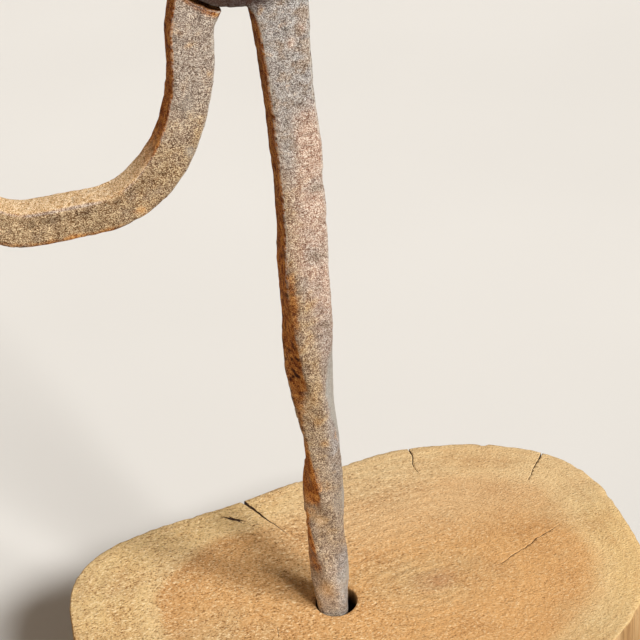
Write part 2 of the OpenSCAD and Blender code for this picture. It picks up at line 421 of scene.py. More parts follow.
def standing_proud(mesh: Mesh, passes: int) -> Array:
    """Measures how far each point stands proud of its own neighbourhood, along its normal.

    Args:
        mesh: A mesh of even facets.
        passes: How many times each point is averaged with its neighbours to find the neighbourhood's middle.

    Returns:
        Millimetres, above zero on edges and below zero in hollows.
    """
    points, normals = mesh_points(mesh)
    ends = np.empty(len(mesh.edges) * 2, np.int32)
    mesh.edges.foreach_get("vertices", ends)
    start, end = ends.reshape(-1, 2).T
    count = np.bincount(ends, minlength=len(points))
    middle = points
    for _ in range(passes):
        middle = np.stack([
            np.bincount(start, axis[end], len(points)) + np.bincount(end, axis[start], len(points))
            for axis in middle.T
        ], axis=1) / count[:, None]
    return np.einsum("ij,ij->i", points - middle, normals)


@dataclass(frozen=True)
class Grain:
    """A cloudy pattern: its pitch in millimetres, its octaves, how much of each the next one keeps, how it
    is squeezed along X, Y and Z, and how it is turned. The finest are as coarse as they must be to show."""

    pitch: float
    detail: float
    keep: float = 0.6
    squeeze: Triple = (1.0, 1.0, 1.0)
    turn: Triple = (0.0, 0.0, 0.0)

    def drawn(self, tree: Tree, place: Socket) -> Socket:
        """Draws the pattern.

        Args:
            tree: The material's node tree.
            place: Object coordinates.

        Returns:
            A value that lies round 0.5.
        """
        place = add(tree, "Mapping", {"Vector": place, "Rotation": self.turn, "Scale": self.squeeze})
        scale = 1 / (self.pitch * MM)
        return add(tree, "TexNoise", {
            "Vector": place, "Scale": scale, "Detail": self.detail, "Roughness": self.keep,
        })


@dataclass(frozen=True)
class Finish:
    """What the finishes share: a name, and a material that holds nothing but the finish's own surface."""

    name: str

    def surface(self, tree: Tree, place: Socket) -> Socket:
        """Builds the finish's shader on Object coordinates."""
        raise NotImplementedError

    def material(self) -> bpy.types.Material:
        """Makes the material.

        Returns:
            The material, with the surface that the finish builds.
        """
        material = bpy.data.materials.new(self.name)
        material.use_nodes = True
        tree = material.node_tree
        tree.nodes.clear()
        add(tree, "OutputMaterial", (self.surface(tree, add(tree, "TexCoord", take="Object")),))
        return material


@dataclass(frozen=True)
class WroughtIron(Finish):
    """Wrought iron, hammered hot, long rusted and then rubbed dry: a dry, gritty skin, grey where it is
    handled, pink, brown and gold where the rust is thin, pale on top where there is dust and painted light
    from above, deep orange where it is thick and where warm shade is painted on faces turned from the lamps."""

    name: str = "wrought_iron"
    grey: Tones = ("#523e2c", "#9b8674", "#e7d8c6")
    cool: Tones = ("#464442", "#918e8b", "#e0dfdd")
    pink: Tones = ("#5c3018", "#c69e85", "#fff0dc")
    brown: Tones = ("#341900", "#8f6d4c", "#ecd2a6")
    gold: Tones = ("#421800", "#b38250", "#f6d49e")
    sand: Tones = ("#764c1c", "#dab07a", "#ffeccc")
    # Rust tones, also laid on the left faces as painted warm shade.
    rust: Tones = ("#360c00", "#aa5d24", "#e8aa5e")
    bare: str = "#b2b0a7"
    worn: str = "#e2d8c8"
    # Dark of the skin's hollows, also laid on as painted shade in the crotch under the pivot and on the left
    # faces of the stem.
    hollow: str = "#321509"
    grit: Grain = Grain(0.16, 2.0, 0.7, (0.7, 0.85, 0.9), (0.0, 0.35, 0.0))
    ridge: Grain = Grain(1.0, 2.0, 0.62)
    patch: Grain = Grain(1.7, 3.0, 0.62)
    mottle: Grain = Grain(3.4, 4.0, 0.62)
    ridge_w: float = 0.14
    dark_at: float = 0.46
    pale_at: float = 0.765
    roughness: float = 0.88
    rubbed_roughness: float = 0.55
    specular: float = 0.12
    bump: float = 0.85
    bump_height: float = 0.35

    # How far the mottle moves the edge of each tone that lies over the grey.
    DRIFT: ClassVar[dict[str, float]] = {"pink": 1.6, "brown": 1.1, "gold": 1.3, "sand": 1.0, "rust": 1.2}

    def surface(self, tree: Tree, place: Socket) -> Socket:
        """Spreads grit and fine ridges from a dark to a pale tone, and lays the tones by the mesh's shares.

        Args:
            tree: The material's node tree.
            place: Object coordinates.

        Returns:
            The shader.
        """
        fine, wide, patch, mottle = (
            grain.drawn(tree, place) for grain in (self.grit, self.ridge, self.patch, self.mottle)
        )
        crest = add(tree, "Math", (wide, 0.5), operation="SUBTRACT")
        crest = add(tree, "Math", (crest,), operation="ABSOLUTE")
        crest = add(tree, "MapRange", (crest, 0.0, self.ridge_w, 1.0, 0.0))
        grit = add(tree, "Math", (crest, 0.08, fine), operation="MULTIPLY_ADD")
        grit = add(tree, "Math", (patch, 0.16, grit), operation="MULTIPLY_ADD")
        blotchy = add(tree, "Math", (patch, 0.5), operation="SUBTRACT")
        blotchy = add(tree, "Math", (blotchy, 0.45, grit), operation="MULTIPLY_ADD")
        even, uneven = (
            add(tree, "MapRange", (value, self.dark_at, self.pale_at)) for value in (grit, blotchy)
        )
        shares = {"grey": 1.0, "cool": add(tree, "MapRange", (mottle, 0.4, 0.6))}
        for tone, reach in self.DRIFT.items():
            kept = add(tree, "Attribute", take="Fac", attribute_name=tone)
            moved = add(tree, "Math", (mottle, reach, kept), operation="MULTIPLY_ADD")
            ends = (moved, 0.5 * reach + 0.12, 0.5 * reach + 0.88)
            shares[tone] = add(tree, "MapRange", ends, interpolation_type="SMOOTHSTEP")
        coats = []
        for tone, share in shares.items():
            spread = uneven if tone == "rust" else even
            stops = tuple(zip((0.0, 0.5, 1.0), getattr(self, tone)))
            coats.append((share, add(tree, "ValToRGB", (spread,), stops)))
        smooth, worn, hollow = (
            add(tree, "Attribute", take="Fac", attribute_name=name) for name in ("bare", "wear", "hollow")
        )
        rubbed, gloss, metal, calm = (
            add(tree, "MapRange", (smooth, 0.0, 1.0, *ends))
            for ends in ((0.0, 0.8), (self.roughness, self.rubbed_roughness), (0.0, 0.25), (1.0, 0.4))
        )
        worn = add(tree, "Math", (worn, crest), operation="MULTIPLY")
        colour = self.hollow
        for share, coat in (*coats, (rubbed, self.bare), (worn, self.worn), (hollow, self.hollow)):
            colour = add(tree, "Mix", {0: share, 6: colour, 7: coat}, take=2, data_type="RGBA")
        height = add(tree, "Math", (wide, 0.5, grit), operation="MULTIPLY_ADD")
        height = add(tree, "Math", (height, calm), operation="MULTIPLY")
        bump = add(tree, "Bump", {
            "Height": height, "Strength": self.bump, "Distance": self.bump_height * MM,
        })
        return add(tree, "BsdfPrincipled", {
            "Base Color": colour, "Roughness": gloss, "Metallic": metal, "Normal": bump,
            "Specular IOR Level": self.specular,
        })


@dataclass(frozen=True)
class SheetIron(WroughtIron):
    """Hammered sheet iron, rolled cold: the same skin with broader mottling and a little more gloss."""

    name: str = "sheet_iron"
    grit: Grain = replace(WroughtIron.grit, pitch=0.28)
    mottle: Grain = replace(WroughtIron.mottle, pitch=5.0)
    roughness: float = 0.75


@dataclass(frozen=True)
class EndGrainWood(Finish):
    """A slice of a fruitwood log, sawn, worn and dried: fuzzy end grain with dark and pale specks, olive
    sapwood round a redder heart, faint rings, and long fibres in broad strips down the peeled side."""

    name: str = "end_grain_wood"
    sapwood: str = "#ddb97f"
    heartwood: str = "#d4a268"
    ring: str = "#b27c48"
    cool: str = "#c9ad7e"
    pith: str = "#a0694a"
    halo: str = "#efd09c"
    speck_dark: str = "#775028"
    speck_pale: str = "#fbe4b6"
    side: str = "#b88f5e"
    side_dark: str = "#8a673f"
    bast: str = "#7d5a38"
    bleached: str = "#cfae80"
    # Near black on the bore's wall: painted shade inside the deep hole.
    bore_shade: str = "#2a170b"
    faded: str = "#d8b98d"
    speck: Grain = Grain(0.45, 3.0)
    dash: Grain = Grain(0.36, 2.0, 0.6, (0.45, 1.0, 1.0), (0.0, 0.0, 0.6))
    blotch: Grain = Grain(13.0, 5.0)
    cloud: Grain = Grain(29.9, 3.0)
    drift: Grain = Grain(13.0, 1.0)
    fibre: Grain = Grain(0.9, 4.0, 0.65, (1.0, 1.0, 0.9 / 34))
    strip: Grain = Grain(7.0, 4.0, 0.55, (1.0, 1.0, 7 / 45))
    rings: float = 17.0
    sap_from: float = 0.82
    roughness: float = 0.9
    specular: float = 0.15
    bump: float = 0.7
    bump_height: float = 0.35

    def surface(self, tree: Tree, place: Socket) -> Socket:
        """Lays sapwood, rings, blotches and specks over the heartwood, by the mesh's ring numbers, and
        the peeled side wherever there is no end grain.

        Args:
            tree: The material's node tree.
            place: Object coordinates.

        Returns:
            The shader.
        """
        speck, dash, blotch, cloud, drift, fibre, strip = (
            grain.drawn(tree, place)
            for grain in (self.speck, self.dash, self.blotch, self.cloud, self.drift, self.fibre, self.strip)
        )
        ring, end, clear, faded, torn, bore = (
            add(tree, "Attribute", take="Fac", attribute_name=name)
            for name in ("ring", "end", "clear", "faded", "torn", "bore")
        )
        edge = self.sap_from
        shifted = add(tree, "Math", (drift, 0.12, ring), operation="MULTIPLY_ADD")
        wave = add(tree, "Math", (shifted, self.rings * math.tau), operation="MULTIPLY")
        wave = add(tree, "Math", (wave,), operation="SINE")
        low, high, band, rim, halo, heart, warm, cool, bast, bleached, fuzzy = (
            add(tree, "MapRange", row) for row in (
                (clear, 0.0, 1.0, edge - 0.13, edge - 0.02),
                (clear, 0.0, 1.0, edge + 0.13, edge + 0.02),
                (wave, 0.2, 1.0, 0.0, 0.12),
                (shifted, edge - 0.14, edge - 0.02, 0.0, 0.26),
                (shifted, edge + 0.02, edge + 0.1, 0.3, 0.0),
                (ring, 0.02, 0.1, 0.45, 0.0),
                (blotch, 0.48, 0.75, 0.0, 0.5),
                (cloud, 0.45, 0.68, 0.0, 0.7),
                (strip, 0.5, 0.7, 0.0, 0.75),
                (strip, 0.48, 0.3, 0.0, 0.6),
                (blotch, 0.35, 0.65, 0.75, 1.1),
            )
        )
        sap = add(tree, "MapRange", (shifted, low, high), interpolation_type="SMOOTHSTEP")
        inside, beside = (add(tree, "Math", (1.0, share), operation="SUBTRACT") for share in (sap, end))
        rim, halo, fuzzy = (
            add(tree, "Math", pair, operation="MULTIPLY")
            for pair in ((rim, inside), (halo, sap), (fuzzy, torn))
        )
        rim, fuzzy = (
            add(tree, "Math", pair, operation="MULTIPLY") for pair in ((rim, clear), (fuzzy, end))
        )
        specks = []
        for noise, start, full, reach, tint in (
            (speck, 0.45, 0.28, 0.7, self.speck_dark), (dash, 0.43, 0.28, 0.75, self.speck_dark),
            (speck, 0.57, 0.74, 0.6, self.speck_pale), (dash, 0.57, 0.72, 0.6, self.speck_pale),
        ):
            share = add(tree, "MapRange", (noise, start, full, 0.0, reach))
            specks.append((add(tree, "Math", (share, fuzzy), operation="MULTIPLY"), tint))
        peeled = add(tree, "ValToRGB", (fibre,), ((0.3, self.side_dark), (0.62, self.side)))
        for share, coat in ((bast, self.bast), (bleached, self.bleached)):
            peeled = add(tree, "Mix", {0: share, 6: peeled, 7: coat}, take=2, data_type="RGBA")
        colour = self.heartwood
        for share, coat in (
            (sap, self.sapwood), (cool, self.cool), (faded, self.faded), (warm, self.ring), (band, self.ring),
            (rim, self.ring), (halo, self.halo), (heart, self.pith), (beside, peeled), *specks,
            (bore, self.bore_shade),
        ):
            colour = add(tree, "Mix", {0: share, 6: colour, 7: coat}, take=2, data_type="RGBA")
        fuzz = add(tree, "Math", (speck, dash))
        relief = add(tree, "Mix", {0: end, 2: fibre, 3: fuzz})
        bump = add(tree, "Bump", {
            "Height": relief, "Strength": self.bump, "Distance": self.bump_height * MM,
        })
        return add(tree, "BsdfPrincipled", {
            "Base Color": colour, "Roughness": self.roughness, "Normal": bump,
            "Specular IOR Level": self.specular,
        })


@dataclass(frozen=True)
class SplitWoodShade(Finish):
    """Raw wood inside a drying check: torn fibres, dusty brown, that fall away to near black, which is
    painted shade in the narrow crack.
    """

    name: str = "split_wood_shade"
    torn: str = "#5a3c20"
    # Painted shade deep in the crack.
    deep: str = "#23140a"
    fibre: Grain = Grain(0.8, 3.0, 0.5, (1.0, 1.0, 0.1))
    roughness: float = 0.95

    def surface(self, tree: Tree, place: Socket) -> Socket:
        """Shades long upright fibres between the two browns.

        Args:
            tree: The material's node tree.
            place: Object coordinates.

        Returns:
            The shader.
        """
        stops = ((0.35, self.deep), (0.7, self.torn))
        colour = add(tree, "ValToRGB", (self.fibre.drawn(tree, place),), stops)
        return add(tree, "BsdfPrincipled", {"Base Color": colour, "Roughness": self.roughness})


def looked_at(tree: Tree) -> Socket:
    """Tells looking from lighting.

    Args:
        tree: The node tree that asks.

    Returns:
        1 where the eye, gloss or glass looks, and 0 where light is only gathered.
    """
    seen, gloss, glass = (
        add(tree, "LightPath", take=f"Is {ray} Ray") for ray in ("Camera", "Glossy", "Transmission")
    )
    seen = add(tree, "Math", (seen, gloss), operation="MAXIMUM")
    return add(tree, "Math", (seen, glass), operation="MAXIMUM")


@dataclass(frozen=True)
class PaleFloor(Finish):
    """A matt, painted board, hardly clouded: pale to the eye, though it throws little light back up."""

    name: str = "pale_floor"
    light: str = "#dedbd5"
    shade: str = "#d9d6d0"
    bounce: str = "#77736c"
    cloud: Grain = Grain(160.0, 2.0, 0.5)
    roughness: float = 0.9

    def surface(self, tree: Tree, place: Socket) -> Socket:
        """Shades faint clouds between the two pale tones, with a darker tone for the light that it gives.

        Args:
            tree: The material's node tree.
            place: Object coordinates.

        Returns:
            The shader.
        """
        stops = ((0.3, self.shade), (0.7, self.light))
        tone = add(tree, "ValToRGB", (self.cloud.drawn(tree, place),), stops)
        tone = add(tree, "Mix", {0: looked_at(tree), 6: self.bounce, 7: tone}, take=2, data_type="RGBA")
        return add(tree, "BsdfPrincipled", {"Base Color": tone, "Roughness": self.roughness})


@dataclass(frozen=True)
class Relief:
    """Forged and rusted relief: layers of a smooth field, each with its pitch and height, and rust pits."""

    seed: int
    layers: Rows = ((11.0, 0.2), (5.0, 0.13), (2.2, 0.09), (1.05, 0.085))
    pit_pitch: float = 1.6
    pit_depth: float = 0.2
    pit_from: float = 0.42
    pit_full: float = 0.8

    def height(self, points: Array) -> Array:
        """Sums the layers and takes away the pits.

        Args:
            points: Places in millimetres.

        Returns:
            Height of the skin at each place, in millimetres.
        """
        total = np.zeros(len(points))
        for k, (pitch, high) in enumerate(self.layers):
            total += high * Field(self.seed + k).at(points, pitch)
        pits = Field(self.seed + len(self.layers)).at(points, self.pit_pitch)
        return total - self.pit_depth * eased(pits, self.pit_from, self.pit_full)

    def press(self, mesh: Mesh, share: Array, passes: int = 6) -> Array:
        """Moves each point of a mesh along its normal by the height there.

        Args:
            mesh: The mesh.
            share: How much of the height each point takes.
            passes: What standing_proud() is told.

        Returns:
            How far each point then stands proud.
        """
        points, normals = mesh_points(mesh)
        points += normals * (share * self.height(points))[:, None]
        mesh.vertices.foreach_set("co", (points * MM).astype(np.float32).ravel())
        mesh.update()
        return standing_proud(mesh, passes)


@dataclass
class Lap:
    """The lapped and riveted pivot that both levers share."""

    pivot: Array
    boss_r: float = 11.5
    boss_t: float = 3.6
    gap: float = 0.2
    shoulder: float = 0.8
    rivet_r: float = 2.4
    hole_clear: float = 0.4
    edge: float = 0.7
    reach: float = 16.0

    def away(self, points: Array) -> Array:
        """Gives how far points lie from the pivot's axis."""
        return np.hypot(*(points - self.pivot)[:, [0, 2]].T)

    def disc(self, radius: float, side: int, ends: tuple[float, float], edge: float = 0.0) -> Shell:
        """Makes a disc along Y round the pivot: circles drawn in at both faces along quarter rounds.

        Args:
            radius: Its radius.
            side: 1, or -1 to mirror its ends to the front.
            ends: Depths of its two faces.
            edge: Radius of its worn edge.

        Returns:
            The disc.
        """
        low, high = sorted(side * end for end in ends)
        inward, drawn = edge - quarter(edge)
        radii = radius - np.concatenate([drawn, drawn[::-1]])
        depths = np.concatenate([low + inward, high - inward[::-1]])
        return lofted(turned(radii, depths, 128, axis=1) + self.pivot)

    def boss(self, side: Side) -> Shell:
        """Makes the lever's own boss."""
        return self.disc(self.boss_r, side.value, (self.gap / 2, self.gap / 2 + self.boss_t), self.edge)

    def room(self, side: Side) -> Shell:
        """Makes the room that the other lever's boss takes out of this one."""
        return self.disc(self.boss_r + self.shoulder, side.value, (self.gap / 2, -self.reach))

    def hole(self) -> Shell:
        """Makes the rivet's hole."""
        return self.disc(self.rivet_r + self.hole_clear, 1, (-self.reach, self.reach))


@dataclass
class Lever:
    """One forged lever of the nips: a bar, a boss and a jaw."""

    lap: Lap
    side: Side
    relief: Relief
    bar_d: float = 7.2
    corner: float = 1.0
    jaw_len: float = 50.0
    jaw_grip: float = 17.0
    jaw_gap: float = 0.3
    jaw_bow: float = 2.0
    jaw_root_w: float = 6.6
    jaw_tip_w: float = 3.2
    jaw_d: float = 8.4
    facet: float = 0.34
    rings_per_step: int = 12

    # Patches of each tone on the front: across, up, half width, half height and strength.
    PATCHES: ClassVar[dict[str, Rows]] = {}

    def bar(self) -> Shell:
        """Makes the lever's bar."""
        raise NotImplementedError

    def extras(self) -> list[tuple[Joining, Shell]]:
        """Lists what else is welded to the lever."""
        return []

    def weathering(self, points: Array, normals: Array) -> dict[str, Array]:
        """Says where the iron is pink, brown, gold, sand-coloured, rusted, bare, stained or worn at its
        edges, and where light and shade are painted on it.
        """
        raise NotImplementedError

    def calm(self, points: Array) -> Array:
        """Says where the skin must stay smooth, because another piece lies close.

        Args:
            points: Places in millimetres.

        Returns:
            A share from 0, smooth, to 1, fully rough.
        """
        lap = self.lap
        x, y, z = (points - lap.pivot).T
        near_lap = 1 - eased(lap.away(points), lap.boss_r + lap.shoulder, lap.boss_r + 2 * lap.shoulder)
        lap_face = eased(np.abs(y), 0.6, 1.4)
        grip_face = eased(np.abs(x), 0.7, 1.6)
        above = eased(z, 0, lap.boss_r)
        return (1 - near_lap * (1 - lap_face)) * (1 - above * (1 - grip_face))

    def patches(self, across: Array, up: Array, front: Array) -> dict[str, Array]:
        """Lays each tone's own patches on the faces that look to the front."""
        return {tone: front * spots(across, up, rows) for tone, rows in self.PATCHES.items()}

    @staticmethod
    def arris(normals: Array) -> Array:
        """Gives 1 on the worn edges between a broad face and a narrow one, and 0 on both faces."""
        broad = np.abs(normals[:, 1])
        return eased(broad, 0.3, 0.5) * (1 - eased(broad, 0.8, 0.93))

    def jaw(self) -> Shell:
        """Makes the jaw: stations of height, set-back of the inner face, width and depth, joined by a loft.

        Returns:
            The jaw, whose root lies in the boss.
        """
        boss_r, bow, bar_d = self.lap.boss_r, self.jaw_bow, self.bar_d
        root_w, tip_w = self.jaw_root_w, self.jaw_tip_w
        root = 1.7 * boss_r
        grip = self.jaw_len - self.jaw_grip
        rows = filled(np.array([
            [0.2 * boss_r, 0, 0.7 * boss_r, bar_d],
            [0.95 * boss_r, 0.6 * bow, 1.1 * root_w, bar_d],
            [root, bow, root_w, bar_d],
            [(grip + root) / 2, 0.6 * bow, 0.98 * root_w, (bar_d + self.jaw_d) / 2],
            [grip, 0, 0.9 * root_w, self.jaw_d],
            [grip + self.jaw_grip / 2, 0, (0.9 * root_w + tip_w) / 2, self.jaw_d],
            [self.jaw_len, 0, tip_w, 0.8 * self.jaw_d],
        ]), self.rings_per_step)
        rise, back, w, d = rows.T
        out = self.side.value * (self.jaw_gap / 2 + back + w / 2)
        middle = self.lap.pivot + np.stack([out, np.zeros_like(out), rise], axis=1)
        wide, deep = (np.tile(axis, (len(rows), 1)) for axis in np.eye(3)[:2])
        return lofted(bar_rings(middle, wide, deep, w, d, self.corner))

    def mesh(self, name: str) -> Mesh:
        """Forges the lever: bar and jaw, cut back at the lap, with the boss, then the relief on its skin.

        Args:
            name: Name of the mesh.

        Returns:
            The finished mesh with its weathering.
        """
        lap = self.lap
        steps = [
            (Joining.WELD, self.jaw()),
            (Joining.CUT, lap.room(self.side)),
            (Joining.WELD, lap.boss(self.side)),
            (Joining.CUT, lap.hole()),
        ]
        mesh = combined(name, self.bar(), steps + self.extras(), self.facet)
        points, normals = mesh_points(mesh)
        tones = self.weathering(points, normals)
        proud = self.relief.press(mesh, self.calm(points) * (1 - 0.8 * tones["bare"]))
        # Painted shade under the boss, in the crotch between the levers, laid on with the dark hollow tone.
        painted_crotch_shade = 1 - eased(lap.away(points), lap.boss_r - 1, lap.boss_r + 2.5)
        painted_crotch_shade *= eased(lap.pivot[2] - points[:, 2], 0, 0.7 * lap.boss_r)
        hollow = np.maximum.reduce([0.7 * eased(-proud, 0.05, 0.2), 0.9 * painted_crotch_shade, tones.pop("stain")])
        wear = np.clip(0.5 * eased(proud, 0.1, 0.26) + tones.pop("edge"), 0, 1)
        store(mesh, wear=wear, hollow=hollow, **tones)
        return mesh


@dataclass
class Stem(Lever):
    """The fixed lever: a twisted bar with its tang in the base, which widens into the front boss."""

    base_top: float = 38.0
    bar_w: float = 7.9
    twist_len: float = 88.0
    twist_turn: float = 250.0
    shank_bow: float = 1.0
    bore_r: float = 4.5
    bore_depth: float = 30.0
    twist_corner: float = 2.0
    tang_fit: float = 0.71
    tang_clear: float = 0.1
    tang_tip: float = 5.0

    PATCHES: ClassVar[dict[str, Rows]] = {
        "pink": (
            (1.2, 117, 2.4, 6, 0.5), (1.2, 140, 1, 1.6, 0.5), (-0.7, 137.5, 1, 1.3, 0.4),
            (1.4, 103.5, 1.8, 3.5, 0.4), (-2.8, 99.5, 1.8, 3, 0.2), (-2.4, 92, 2, 3, 0.2),
            (-3, 117, 1.6, 7, -0.4), (1.7, 108, 2, 2.2, -0.25), (-0.2, 93, 1.5, 2.5, -0.2),
            (-2.7, 87, 1.6, 3, -0.25),
        ),
        "gold": (
            (-0.9, 84, 1.5, 3, 0.35), (-2.1, 74, 1.5, 3, 0.35), (-2, 60.5, 1, 2, 0.65),
            (-1.9, 53.5, 1, 2, 0.6), (-0.7, 47.8, 1.2, 1.3, 0.7), (-0.2, 36, 2, 3, 0.3),
        ),
        # The two lowest sand patches, on the left chamfers near the tang, are painted light where those faces
        # turn from the lamps.
        "sand": ((-2.8, 27, 1.7, 4, 0.6), (-2.4, 7, 1.9, 4, 0.7), (-3.4, 57, 1.6, 4, 0.5)),
        # The rust and stain patches at the left edge are rust and also painted shade of the left side.
        "rust": ((-4.6, 83, 1.2, 8, 0.9), (-4.7, 62, 1.2, 9, 0.8), (-2.9, 37, 1.2, 5, 0.6)),
        "bare": ((3.3, 29, 0.8, 4.5, 0.9), (3.3, 8.5, 0.9, 3, 0.8), (0, 0, 4, 4, 0.15)),
        "stain": ((-4.6, 82, 1.3, 9, 0.7), (-4.6, 63, 1.3, 9, 0.55)),
    }
    BROWN_SIDE: ClassVar[Rows] = ((-5, 104, 2.6, 9, 0.5), (-5, 86, 2.6, 9, 0.6))
    BARE_SIDE: ClassVar[Rows] = ((0, 33, 1, 4, 0.6), (0, 10, 1, 5, 0.8))

    # Pairs of height above the base and share, or, for the twist's rubbed facet, its edge's place across.
    PINK: ClassVar[Rows] = (
        (20, 0.1), (45, 0.2), (75, 0.5), (86, 0.66), (112, 0.62), (121, 0.5), (126, 0.22), (140, 0.12),
    )
    BROWN: ClassVar[Rows] = ((0, 0.55), (8, 0.48), (20, 0.58), (45, 0.62), (66, 0.75), (78, 0.5), (88, 0.2))
    BROWN_LOST: ClassVar[Rows] = ((0, 0.7), (14, 0.7), (20, 0.1), (35, 0.1), (45, 0.75))
    # RUST_AND_SHADE and STAIN_AND_SHADE lay rust and dark pits on the left faces by height; both also paint
    # warm shade on the side turned from the lamps.
    RUST_AND_SHADE: ClassVar[Rows] = (
        (0, 0), (10, 0.05), (14, 0.5), (20, 0.75), (26, 0.6), (30, 0.25), (34, 0.6), (41, 0.95), (45, 0.8),
        (49, 0.3), (62, 0.35), (72, 0.7), (82, 1),
    )
    STAIN_AND_SHADE: ClassVar[Rows] = ((30, 0.2), (60, 0.6), (70, 1), (90, 0.8), (150, 0.6))
    RUBBED: ClassVar[Rows] = ((42, 3.7), (47, 2.8), (54, 1.2), (60, 0.2), (65.7, 1.3), (71, 2.5), (74, 4))

    def stations(self) -> Array:
        """Lists the stations of the bar.

        Returns:
            Height above the base, sideways place, width, depth and share of the twist, finely filled in.
        """
        w, d, bow, twist = self.bar_w, self.bar_d, self.shank_bow, self.twist_len
        neck = self.lap.pivot[2] - self.base_top - twist
        edge = self.lap.boss_r + self.lap.pivot[0]
        tang = self.tang_fit * 2 * self.bore_r
        reach = math.sqrt(2) * (tang / 2 - self.twist_corner) + self.twist_corner
        lean = reach + self.tang_clear - self.bore_r
        return filled(np.array([
            [-self.bore_depth, lean, self.tang_tip, self.tang_tip, 1],
            [-self.bore_depth / 2, lean, tang, tang, 1],
            [0, lean, tang, tang, 1],
            [0.12 * twist, -0.8 * bow, 0.9 * w, 0.96 * d, 0.84],
            [0.25 * twist, -0.9 * bow, 0.95 * w, 0.97 * d, 0.66],
            [0.38 * twist, -0.7 * bow, 0.94 * w, 0.96 * d, 0.47],
            [0.5 * twist, -0.2 * bow, 0.95 * w, 0.97 * d, 0.31],
            [0.63 * twist, -1.1 * bow, 0.98 * w, 0.98 * d, 0.25],
            [0.76 * twist, -1.6 * bow, 1.02 * w, d, 0.12],
            [0.88 * twist, -1.2 * bow, 1.06 * w, d, 0.02],
            [twist, -1.1 * bow, 1.09 * w, d, 0],
            [twist + 0.2 * neck, -0.6 * bow, 1.07 * w, d, 0],
            [twist + 0.4 * neck, -0.7 * bow, 1.05 * w, d, 0],
            [twist + 0.58 * neck, -1.2 * bow, 1.01 * w, d, 0],
            [twist + 0.7 * neck, edge - 0.56 * w, 1.07 * w, d, 0],
            [twist + 0.8 * neck, edge - 0.6 * w, 1.24 * w, d, 0],
            [twist + 0.86 * neck, edge - 0.77 * w, 1.55 * w, d, 0],
            [twist + 0.92 * neck, edge - 0.98 * w, 1.96 * w, d, 0],
            [twist + 0.97 * neck, edge - 1.14 * w, 2.24 * w, d, 0],
        ]), self.rings_per_step)

    def bar(self) -> Shell:
        """Carries the bar's section up the stations, turned about Z by its share of the twist and worn round
        wherever it is twisted.

        Returns:
            The bar.
        """
        rise, x, w, d, share = self.stations().T
        turn = np.radians(self.twist_turn) * share
        none = np.zeros_like(x)
        middle = np.stack([x, none, self.base_top + rise], axis=1)
        wide = np.stack([np.cos(turn), np.sin(turn), none], axis=1)
        deep = np.stack([-np.sin(turn), np.cos(turn), none], axis=1)
        corner = self.corner + (self.twist_corner - self.corner) * np.clip(4 * share, 0, 1)
        return lofted(bar_rings(middle, wide, deep, w, d, corner))

    def calm(self, points: Array) -> Array:
        """Keeps the tang smooth in its hole as well."""
        return super().calm(points) * eased(points[:, 2] - self.base_top, 0, 2)

    def weathering(self, points: Array, normals: Array) -> dict[str, Array]:
        """Gives the stem its tones by height and by which way a face looks, with patches on its front. The
        rust and dark pits of the left faces are also painted warm shade, and two pale patches low on the left
        chamfers are painted light.

        Args:
            points: Places in millimetres.
            normals: Directions of the skin there.

        Returns:
            Shares of pink, brown, gold, sand, rust, bare, stain and edge wear, with painted shade in the rust
            and stain of the left faces.
        """
        x, _, z = points.T
        rise = z - self.base_top
        front = eased(-normals[:, 1], 0.1, 0.7)
        left = eased(-normals[:, 0], 0.55, 0.85)
        right = eased(normals[:, 0], 0.3, 0.8)
        on_front = self.patches(x, rise, front)
        uneven = Field(self.relief.seed + 7).at(points, 5.0)
        ragged = Field(self.relief.seed + 8).at(points, 1.3)
        pits = eased(Field(self.relief.seed + 9).at(points, 0.9), 0.15, 0.55)
        brown = along(rise, self.BROWN) * (1 - eased(x, -1.5, 2) * along(rise, self.BROWN_LOST))
        pivot_z = self.lap.pivot[2]
        # Rust on the left faces: part rust, part painted warm shade of the side turned from the lamps.
        rust = left * along(rise, self.RUST_AND_SHADE) * along(z, ((pivot_z, 1), (pivot_z + 12, 0.3)))
        past_edge = eased(x - along(rise, self.RUBBED) - 0.35 * ragged, -0.2, 0.7)
        bare = 0.85 * past_edge * eased(-normals[:, 1], -0.3, 0.2) * (np.abs(rise - 58) < 16)
        # Dark pits on the left faces: part rust pits, part painted shade; then the front's own stain patches.
        stain = 0.7 * left * pits * along(rise, self.STAIN_AND_SHADE) + (0.6 + 0.4 * pits) * on_front["stain"]
        return {
            "pink": along(rise, self.PINK) + on_front["pink"],
            "brown": brown + spots(x, rise, self.BROWN_SIDE),
            "gold": on_front["gold"],
            "sand": on_front["sand"],
            "rust": rust * (1.05 + 0.3 * uneven) + on_front["rust"],
            "bare": bare + right * spots(0 * x, rise, self.BARE_SIDE) + on_front["bare"],
            "stain": stain + 0.14 * front * eased(x, -0.5, 2) * (1 - eased(rise, 72, 84)),
            "edge": 0.6 * self.arris(normals) * eased(rise, 82, 90),
        }


